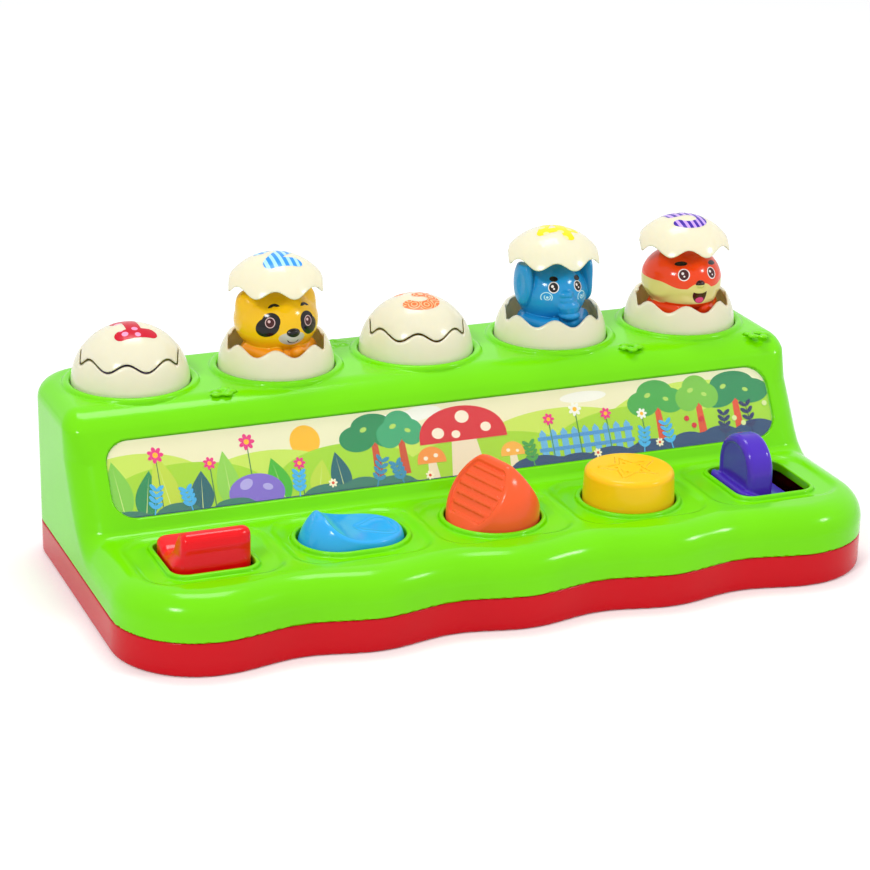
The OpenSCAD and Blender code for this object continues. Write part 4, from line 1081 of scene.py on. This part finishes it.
def below(look, height, colour, rise, width, middle, start=0.0):
    """Colours the figure below a height over the head's centre, raised by rise in the middle;
    the rise falls away between the distances start and width to each side."""
    tree = look.node_tree
    place = add(tree, "SeparateXYZ", {0: add(tree, "TexCoord").outputs["Object"]}).outputs
    aside = add(tree, "Math", {0: place["X"], 1: middle / 1000}, "SUBTRACT").outputs[0]
    squared = add(tree, "Math", {0: aside, 1: aside}, "MULTIPLY").outputs[0]
    fall = add(tree, "MapRange")
    fall.interpolation_type = "SMOOTHSTEP"
    fall.inputs["From Min"].default_value = (start / 1000) ** 2
    fall.inputs["From Max"].default_value = (width / 1000) ** 2
    fall.inputs["To Min"].default_value = (head_centre + height + rise) / 1000
    fall.inputs["To Max"].default_value = (head_centre + height) / 1000
    tree.links.new(squared, fall.inputs["Value"])
    depth = add(tree, "Math", {0: fall.outputs["Result"], 1: place["Z"]}, "SUBTRACT")
    edge = add(tree, "MapRange", {"Value": depth.outputs[0], "From Min": -0.0001, "From Max": 0.0001})
    paint(look, edge.outputs["Result"], colour)


def outside_head(look, colour):
    """Colours the shoulders and chest: what lies low and outside the head's oval."""
    tree = look.node_tree
    where = add(tree, "TexCoord").outputs["Object"]
    place = add(tree, "VectorMath", {0: where, 1: (1000 / head_half_width, 1000 / head_half_width,
                                                   1000 / head_half_height),
                                     2: (0, 0, -head_centre / head_half_height)}, "MULTIPLY_ADD")
    size = add(tree, "VectorMath", {0: place.outputs["Vector"]}, "LENGTH")
    height = add(tree, "SeparateXYZ", {0: where}).outputs["Z"]
    far = add(tree, "MapRange", {"Value": size.outputs["Value"], "From Min": 1.02, "From Max": 1.03})
    under = add(tree, "MapRange", {"Value": height, "From Min": -0.0116, "From Max": -0.0118})
    both = add(tree, "Math", {0: far.outputs["Result"], 1: under.outputs["Result"]}, "MULTIPLY")
    paint(look, both.outputs[0], colour)


black, white, brown = tone(24, 20, 20), tone(250, 240, 238), tone(70, 20, 22)


def eye(look, centre, size=2.3, iris=black):
    """A round printed eye: pale ring, dark iris, and two small catches of light."""
    centre = np.array(centre, float)
    spot(look, centre, (size, size * 1.04), white)
    spot(look, centre, (size * 0.82, size * 0.88), iris)
    spot(look, centre + (-0.7, -0.2, 0.9), (0.55, 0.55), white)
    spot(look, centre + (0.2, 0, -0.9), (0.34, 0.34), white)


purple_skin = plastic("printed_hippo_purple", tone(150, 125, 215), gloss=0.10, sheen=0.35)
yellow_skin = plastic("printed_panda_yellow", tone(250, 195, 15), gloss=0.08, sheen=0.35)
gold_skin = plastic("printed_lion_gold", tone(245, 170, 30), gloss=0.10, sheen=0.35)
blue_skin = plastic("printed_elephant_blue", tone(30, 150, 214), gloss=0.08, sheen=0.35)
fox_red = tone(245, 68, 12)
orange_skin = plastic("printed_fox_orange", fox_red, gloss=0.08, sheen=0.35)

outside_head(yellow_skin, tone(255, 165, 28))
spot(yellow_skin, (-8.9, -15.2, 1.4), (5.2, 4.0), black, roll=24)
spot(yellow_skin, (9.9, -14.9, 0.7), (5.2, 4.0), black, roll=-24)
spot(yellow_skin, (-7.6, -15.9, 3.9), (3.9, 3.7), black)
spot(yellow_skin, (8.9, -15.2, 3.1), (3.9, 3.7), black)
spot(yellow_skin, (1.2, -17.8, -3.7), (5.6, 3.0), tone(196, 190, 176))
spot(yellow_skin, (1.5, -17.9, -1.0), (2.9, 1.7), black)
spot(yellow_skin, (1.2, -17.5, -3.3), (2.6, 2.2), black, hollow=0.82, cut=0.25, flip=-1)
rosy_ring = tone(225, 185, 185)
for place in ((-7.9, -15.7, 3.4), (9.2, -15.2, 2.6)):
    spot(yellow_skin, place, (2.1, 2.2), rosy_ring)
    spot(yellow_skin, place, (1.75, 1.85), brown)
    spot(yellow_skin, np.array(place) + (-0.5, 0, 0.6), (0.55, 0.55), rosy_ring)
for place, roll in (((-5.2, -13.1, 8.4), 12), ((8.8, -12.0, 7.5), -12)):
    spot(yellow_skin, place, (2.6, 2.3), black, roll=roll, hollow=0.40, cut=0.25)

for place in ((-5.8, -15.6, 5.0), (6.6, -15.3, 5.0)):
    eye(purple_skin, place)
for s in (-1, 1):
    spot(purple_skin, (s * 4.4, -17.3, 2.6), (0.9, 1.1), tone(95, 70, 160))
    spot(purple_skin, (s * 11.5, -13.6, -1.5), (2.3, 1.6), tone(240, 140, 190))
spot(purple_skin, (0, -17.2, -5.2), (6.5, 4.0), tone(70, 40, 120), hollow=0.86, cut=0.3, flip=-1)

for place in ((-6.0, -14.9, 3.6), (6.4, -14.9, 3.6)):
    eye(gold_skin, place, iris=brown)
for place, roll in (((-5.8, -13.4, 8.2), 10), ((6.0, -13.4, 8.2), -10)):
    spot(gold_skin, place, (2.3, 0.9), brown, roll=roll)
spot(gold_skin, (0, -17.6, -4.6), (4.6, 3.6), tone(250, 225, 170))
spot(gold_skin, (0, -17.6, -2.9), (2.2, 1.4), brown)
spot(gold_skin, (0, -17.3, -5.2), (2.4, 2.0), brown, hollow=0.80, cut=0.3, flip=-1)

for place in ((-5.8, -15.1, 6.4), (7.4, -14.7, 5.9)):
    eye(blue_skin, place, size=2.35)
for place, roll in (((-5.0, -13.0, 10.3), -8), ((7.8, -12.4, 9.8), 8)):
    spot(blue_skin, place, (1.8, 1.2), black, roll=roll)
pale_blue = tone(190, 235, 245)
for place in ((-9.6, -15.2, 1.3), (9.7, -15.2, 0.3)):
    inner = np.array(place) + (0.5, 0, 0)
    spot(blue_skin, place, (2.7, 2.3), pale_blue, hollow=0.84, cut=-0.55)
    spot(blue_skin, inner + (0, 0, 0.1), (1.5, 1.3), pale_blue, hollow=0.72, cut=-0.6, flip=-1)
    spot(blue_skin, inner, (0.5, 0.45), pale_blue)

fox_cream = tone(228, 212, 128)
below(orange_skin, -0.8, fox_cream, rise=2.4, width=6.5, middle=0.6)
below(orange_skin, 1.9, fox_cream, rise=-2.7, width=16.5, start=7.5, middle=0.6)
outside_head(orange_skin, fox_red)
for place in ((-6.6, -15.3, 5.6), (7.3, -15.2, 5.3)):
    eye(orange_skin, place, size=2.6, iris=brown)
for place, roll in (((-6.5, -11.7, 9.8), 6), ((9.2, -11.1, 8.8), -6)):
    spot(orange_skin, place, (2.7, 1.15), black, roll=roll)
spot(orange_skin, (0.4, -17.8, 1.2), (2.2, 1.9), tone(45, 18, 14))
spot(orange_skin, (0.5, -17.1, -3.2), (3.4, 4.0), tone(75, 20, 15))
spot(orange_skin, (0.5, -17.1, -0.6), (4.4, 2.0), fox_cream)
spot(orange_skin, (0.5, -17.1, -5.7), (1.9, 1.2), tone(225, 60, 120))

skins = (("hippo_purple", hippo, purple_skin), ("panda_yellow", panda, yellow_skin),
         ("lion_gold", lion, gold_skin), ("elephant_blue", elephant, blue_skin),
         ("fox_orange", fox, orange_skin))
for i, (animal, (slot_name, shape, look)) in enumerate(zip(animals, skins)):
    drawn = moulded(f"{animal}_shape", shape, (-19, -20, -34), (19, 19, 11), 0.65, look, keep=0.8)
    scene.collection.objects.unlink(drawn)
    piece = at_egg(animal, drawn.data, i, f"{animal}_lift", 1)
    bpy.data.objects.remove(drawn)
    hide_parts(f"{animal}_figure")

# ---------------------------------------------------------------- red press bar
# A red moulded saddle with a thick grip bar along its front, hinged behind on a
# steel pin, with a foot below that presses the first latch.
grip_height, grip_radius = 42.1, 4.6
foot_low, lug_offset, lug_half = 20.4, 11, 2


def convex(u, v, corners, r):
    """A convex outline, corners anticlockwise, each rounded to radius r."""
    shape = None
    for (a, b), (c, d) in zip(corners, corners[1:] + corners[:1]):
        length = math.hypot(c - a, d - b)
        side = ((u - a) * (d - b) - (v - b) * (c - a)) / length
        shape = side if shape is None else rounded_and(shape, side, r)
    return shape


def press_bar(p):
    x, y, z = p[:, 0] - bar_pin[0], p[:, 1], p[:, 2]
    front, back = control_line - 16.4, control_line + 16.8
    grip = convex(y, z, [(front, 27), (front + 17, 27), (front + 14, 37), (front + 11.8, grip_height),
                         (front + 2.6, grip_height)], 1.0)
    grip = rounded_or(grip, np.hypot(y - front - 7.2, z - grip_height) - grip_radius, 1.5)
    grip = rounded_and(grip, -12.4 - x - 0.2 * (45 - z), 2.4)
    seat = convex(y, z, [(front + 1, 27), (back, 27), (back - 0.4, 32), (back - 3, 35.5), (front + 4, 35.5)], 1.0)
    hump = convex(y, z, [(back - 14, 29), (back, 27), (back - 0.4, 32), (back - 4, 38.2), (back - 6.5, 38.2),
                         (back - 13, 35.9)], 1.4)
    bar = rounded_or(rounded_or(grip, seat, 3.0), hump, 2.0)
    bar = rounded_and(bar, rounded_oblong(x, y - control_line - 0.2, 32.6, 33.2, 8), 3.2)
    bar = np.maximum(bar, 27 - z)
    lug_front, lug_back = bar_pin[1] - 3.4, bar_pin[1] + 3.4
    for s in (-lug_offset, lug_offset):
        lug = block(x, y, z, (s - lug_half, lug_front, 22.1), (s + lug_half, lug_back, 29))
        bar = rounded_or(bar, lug, 0.4)
    bar = rounded_or(bar, block(x, y, z, (-3, control_line - 7, foot_low), (3, control_line - 1, 28.4)), 0.4)
    return np.maximum(bar, pin_bore - np.hypot(y - bar_pin[1], z - bar_pin[2]))


def control(name, shape, look, node, low, high, cell=0.6, keep=0.8):
    """Moulds a control where it stands; it moves with the body named like its node."""
    piece = moulded(name, shape, low, high, cell, look, keep=keep)
    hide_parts(node)
    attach(piece, node)


bar_red = plastic("bar_red", tone(240, 0, 14), gloss=0.10, sheen=0.3)
control("press_bar_grip", press_bar, bar_red, "press_bar", (-141, -55, 20), (-107, -20, 47.5))

# ---------------------------------------------------------------- blue rocker
# A blue see-saw turned about a steel pin: a steep hump on the left and a shallow
# thumb dish on the right, so that it fills its opening at any tilt.
rocker_length, rocker_depth, rocker_corner = 44.8, 32.6, 15.8
peak_turn, dip_x, dip_height, dish_x = math.radians(56), 7.0, 35.1, 11.0
peak_x = -rocker_length / 2 * math.cos(peak_turn)
peak_height = rocker_pin_height + rocker_length / 2 * math.sin(peak_turn) - 0.6


def tilt_rocker(p):
    x, y, z = p[:, 0] + control_pitch, p[:, 1] - control_line, p[:, 2]
    from_pin = np.hypot(x, z - rocker_pin_height)
    drum = rounded_oblong(from_pin, y, rocker_length, rocker_depth, rocker_corner)
    scoop = np.hypot((x - dip_x) / (dip_x - peak_x), (z - peak_height) / (peak_height - dip_height))
    scoop = (scoop - 1) * 8.8
    away = np.minimum(np.maximum(scoop, peak_x - 1 - x), np.maximum(dip_x - x, dip_height - z))
    hump_top = convex(x, z, [(-40, 10), (40, 10), (40, peak_height + 20), (peak_x, peak_height),
                             (-40, peak_height - 14)], 0.8)
    body = rounded_and(rounded_and(drum, hump_top, 1.0), -away, 1.1)
    dish = np.hypot((x - dish_x) / 7.2, y / 8.0) * (1 + 0.2 * np.cos(3 * np.arctan2(y, x - dish_x)))
    sink = 0.55 * np.exp(-(dish / 0.8) ** 6) + 0.28 * np.exp(-((dish - 1.02) / 0.09) ** 2)
    body = np.maximum(body + sink * (z > 30), 25.5 - z)
    for s in (-lug_offset, lug_offset):
        body = rounded_or(body, block(x, y, z, (-4, s - lug_half, 22.6), (4, s + lug_half, 29)), 0.4)
    body = rounded_or(body, block(x, y, z, (-19, -3, foot_low), (-13, 3, 28.4)), 0.4)
    return np.maximum(body, pin_bore - from_pin)


rocker_blue = plastic("rocker_blue", tone(40, 170, 242), gloss=0.08, sheen=0.4)
control("rocker", tilt_rocker, rocker_blue, "tilt_rocker", (-85, -55, 20), (-39, -21, 45))

# ---------------------------------------------------------------- orange knob
# A domed orange wedge that turns on a stem in the tray. Its slope is sunk inside a
# smooth border and ribbed for the fingers; a stepped ramp below drives the latch.
knob_rim, knob_top, slope_turn = 35.5, 57.5, math.radians(15)
slope_foot, slope_head, dome_rise = (-16.4, 33.6), (0.0, 57.2), 24
rib_pitch, rib_end, sunk, rib_rise = 4.3, 13.5, 0.9, 0.75
stem_radius, stem_middle, stem_half = 5, 17, 11
ramp_radius, ramp_half, ramp_rise, ramp_top = 12.1, 2.5, 3, 28


def turn_knob(p):
    x, y, z = p[:, 0], p[:, 1] - control_line, p[:, 2]
    dome = ball(np.stack([x, y, np.maximum(z, knob_rim)], 1), (0, 0, knob_rim),
                (knob_radius, knob_radius, dome_rise))
    ahead = x * math.cos(slope_turn) + y * math.sin(slope_turn)
    aside = -x * math.sin(slope_turn) + y * math.cos(slope_turn)
    run, rise = slope_head[0] - slope_foot[0], slope_head[1] - slope_foot[1]
    length = math.hypot(run, rise)
    over = ((z - slope_foot[1]) * run - (ahead - slope_foot[0]) * rise) / length
    up = ((ahead - slope_foot[0]) * run + (z - slope_foot[1]) * rise) / length
    inset = np.clip((-dome - 1.3) / 0.9, 0, 1) * np.clip((up - 1.5) / 0.8, 0, 1)
    inset *= np.clip((26.4 - up) / 0.8, 0, 1)
    saw = (up / rib_pitch) % 1.0
    rib = np.clip((0.24 - np.abs(saw - 0.5)) / 0.1, 0, 1) * np.clip((-dome - 2.4) / 1.0, 0, 1)
    face = over + inset * (sunk - rib_rise * rib * np.clip(rib_end - np.abs(aside), 0, 1))
    back = convex(ahead, z, [(-40, 0), (26, 0), (17, 37), (12.5, 44), (3, knob_top - 0.6),
                             (0.4, knob_top + 0.4), (-40, knob_top + 0.4)], 1.5)
    back = rounded_or(back, z - 36.6, 2.5)
    body = rounded_and(rounded_and(dome, face, 1.3), back, 2.0)
    body = rounded_and(body, 27 - z, 0.4)
    across = np.hypot(x, y)
    body = np.minimum(body, np.maximum(across - stem_radius, np.abs(z - stem_middle) - stem_half))
    turn = np.degrees(np.arctan2(y, x))
    ramp_low = np.where((turn > -65) & (turn < 5), foot_low + ramp_rise * np.clip(turn, -60, 0) / 60, 26)
    ramp = np.maximum(0.7 * (ramp_low - z), z - ramp_top)
    return np.minimum(body, np.maximum(np.abs(across - ramp_radius) - ramp_half, ramp))


knob_orange = plastic("knob_orange", tone(255, 96, 50), gloss=0.12)
control("knob", turn_knob, knob_orange, "turn_knob", (-20, -58, 6), (20, -18, 59), keep=0.9)

# ---------------------------------------------------------------- yellow button
# A yellow drum with a rounded top edge that slides down on its stem. A star is
# raised on its top as a fine line, with five pin holes inside it.
button_top, button_edge = 45.9, 2.4
star_out, star_in, star_line, star_rise, pin_ring, pin_hole = 12.4, 5.85, 0.95, 0.5, 5.4, 0.55


def star_distance(u, v, outer, inner):
    """Distance from the outline of a five-pointed star, below zero inside it."""
    turn = np.mod(np.arctan2(u, v) + math.pi / 5, 2 * math.pi / 5) - math.pi / 5
    reach = np.hypot(u, v)
    a, b = reach * np.cos(turn), reach * np.abs(np.sin(turn))
    c, d = inner * math.cos(math.pi / 5) - outer, inner * math.sin(math.pi / 5)
    share = np.clip(((a - outer) * c + b * d) / (c * c + d * d), 0, 1)
    far = np.hypot(a - outer - share * c, b - share * d)
    return far * np.sign((a - outer) * d - b * c)


def push_button(p):
    x, y, z = p[:, 0] - control_pitch, p[:, 1] - control_line, p[:, 2]
    across = np.hypot(x, y)
    side = across - np.interp(z, [32.5, button_top], [knob_radius, knob_radius - 0.6])
    body = rounded_and(side, z - button_top, button_edge)
    line = np.abs(star_distance(x, y, star_out, star_in)) - star_line
    body = rounded_or(body, np.maximum(line, np.abs(z - button_top) - star_rise), 0.3)
    body = rounded_and(body, 26.5 - z, 0.4)
    for k in range(5):
        turn = math.radians(90 + 72 * k)
        hole = np.hypot(x - pin_ring * math.cos(turn), y - pin_ring * math.sin(turn)) - pin_hole
        body = np.maximum(body, -np.maximum(hole, button_top - 0.7 - z))
    body = np.minimum(body, np.maximum(across - stem_radius, np.abs(z - 19) - 9))
    return np.minimum(body, block(x, y, z, (9.6, -3, foot_low), (15.6, 3, 27)))


button_yellow = plastic("button_yellow", tone(255, 196, 24), gloss=0.12)
control("button", push_button, button_yellow, "push_button", (42, -58, 10), (82, -18, 47),
        cell=0.5, keep=0.6)

# ---------------------------------------------------------------- purple flip lever
# A purple half-round fin on a curved flap that fills the last opening, hinged on a
# steel pin under the ledge. Both faces of the fin are sunk inside a round border.
fin_radius, fin_half, fin_centre, fin_sunk = 14.6, 6.0, 39.4, 0.7


def flip_lever(p):
    x, y, z = p[:, 0] - lever_x, p[:, 1] - control_line, p[:, 2]
    arch = np.hypot(y, np.maximum(z - fin_centre, 0)) - fin_radius
    thickness = fin_half - fin_sunk * np.clip((-arch - 3.2) / 0.8, 0, 1)
    fin = np.maximum(rounded_and(arch, np.abs(x) - thickness, 3.0), 24 - z)
    bead = convex(x, z, [(-8.6, 24), (4, 21.6), (5, 27.4), (-5, 32.9), (-7.6, 33.7), (-9.4, 32.5)], 0.9)
    flap = convex(x, z, [(4, 21.6), (17.2, 21.2), (17.6, 27.2), (9, 28.8), (4, 29.2)], 0.9)
    flap = rounded_and(rounded_or(bead, flap, 1.5), rounded_oblong(x - 16.5, y, 52.6, 33.2, 5.4), 0.8)
    lever = rounded_or(fin, flap, 1.6)
    for s in (-lug_offset, lug_offset):
        lever = rounded_or(lever, block(x, y, z, (-4, s - lug_half, 13.4), (4, s + lug_half, 25)), 0.4)
    lever = rounded_or(lever, block(x, y, z, (4, -3, foot_low), (9, 3, 24.4)), 0.3)
    return np.maximum(lever, pin_bore - np.hypot(x, z - lever_pin_height))


lever_purple = plastic("lever_purple", tone(78, 42, 190), gloss=0.08, sheen=0.3)
control("lever", flip_lever, lever_purple, "flip_lever", (107, -55, 13), (136, -20, 55))

# ---------------------------------------------------------------- inside and underneath
# Milky acetal latches, white carriers, a white guide frame screwed up under the deck,
# a drawn steel axle and pins, and plated casing screws.
# Their shapes are the frame's own; here they get their materials.
frame_white = plastic("frame_white", tone(232, 232, 226), gloss=0.22)
latch_milky = plastic("latch_milky", tone(222, 220, 208), gloss=0.26, cloud=0.08)
steel = plastic("drawn_steel", tone(196, 196, 200), gloss=0.20, cloud=0.10, peel=0.05, metal=1.0)
materials_inside = {"guide_frame": frame_white}
for name in ("latch_axle", "press_bar_pin", "rocker_pin", "lever_pin", "housing_screws", "frame_screws"):
    materials_inside[name] = steel
for i in range(1, 6):
    materials_inside[f"lift_carrier_{i}"] = frame_white
    materials_inside[f"latch_{i}"] = latch_milky
for name, look in materials_inside.items():
    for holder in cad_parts[name].material_slots:
        holder.material = look

# ---------------------------------------------------------------- springs
# Coil springs stand on the tray's floor: a wide one under each lift carrier and a
# narrow one under each latch arm.
pop_radius, pop_wire, pop_turns = 10.0, 0.6, 5
latch_radius, latch_wire, latch_turns, latch_shut = 3.4, 0.4, 4, 3.5
spring_wire = plastic("spring_wire", tone(176, 178, 184), gloss=0.16, cloud=0.12, peel=0.05, metal=1.0)


def coil_spring(node, radius, wire, turns, joint):
    """A coil in the frame node's own place."""
    (x0, y0, low), (x1, y1, high) = ([1000 * c for c in corner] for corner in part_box(node))
    around, sides = 28 * turns, 12
    t = np.repeat(np.linspace(0, 1, around + 1), sides)
    section = np.tile(np.linspace(0, 2 * math.pi, sides, endpoint=False), around + 1)
    turn, reach = 2 * math.pi * turns * t, radius + wire * np.cos(section)
    climb = np.clip((t * turns - 0.5) / (turns - 1), 0, 1) * (high - low - 2 * wire)
    points = np.stack([(x0 + x1) / 2 + reach * np.cos(turn), (y0 + y1) / 2 + reach * np.sin(turn),
                       low + wire + climb + wire * np.sin(section)], 1) / 1000
    faces = [(k + j, k + sides + j, k + sides + (j + 1) % sides, k + (j + 1) % sides)
             for k in range(0, around * sides, sides) for j in range(sides)]
    faces += [tuple(range(sides)), tuple(around * sides + j for j in reversed(range(sides)))]
    mesh = bpy.data.meshes.new(node + "_coil")
    mesh.from_pydata(points.tolist(), [], faces)
    form = bmesh.new()
    form.from_mesh(mesh)
    bmesh.ops.recalc_face_normals(form, faces=form.faces[:])
    form.to_mesh(mesh)
    form.free()
    mesh.materials.append(spring_wire)
    mesh.polygons.foreach_set("use_smooth", np.ones(len(mesh.polygons), bool))
    mesh.set_sharp_from_angle(angle=math.radians(50))
    spring = bpy.data.objects.new(node + "_coil", mesh)
    scene.collection.objects.link(spring)
    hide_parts(node)
    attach(spring, "housing")
    if joint:
        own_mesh(spring)


for i, joint in enumerate(("bar_press", "rocker_tilt", "knob_turn", "button_push", "lever_flip")):
    coil_spring(f"pop_spring_{i + 1}", pop_radius, pop_wire, pop_turns,
                f"pop_{i + 1}" if lifts[i] else None)
    coil_spring(f"latch_spring_{i + 1}", latch_radius, latch_wire, latch_turns, joint)
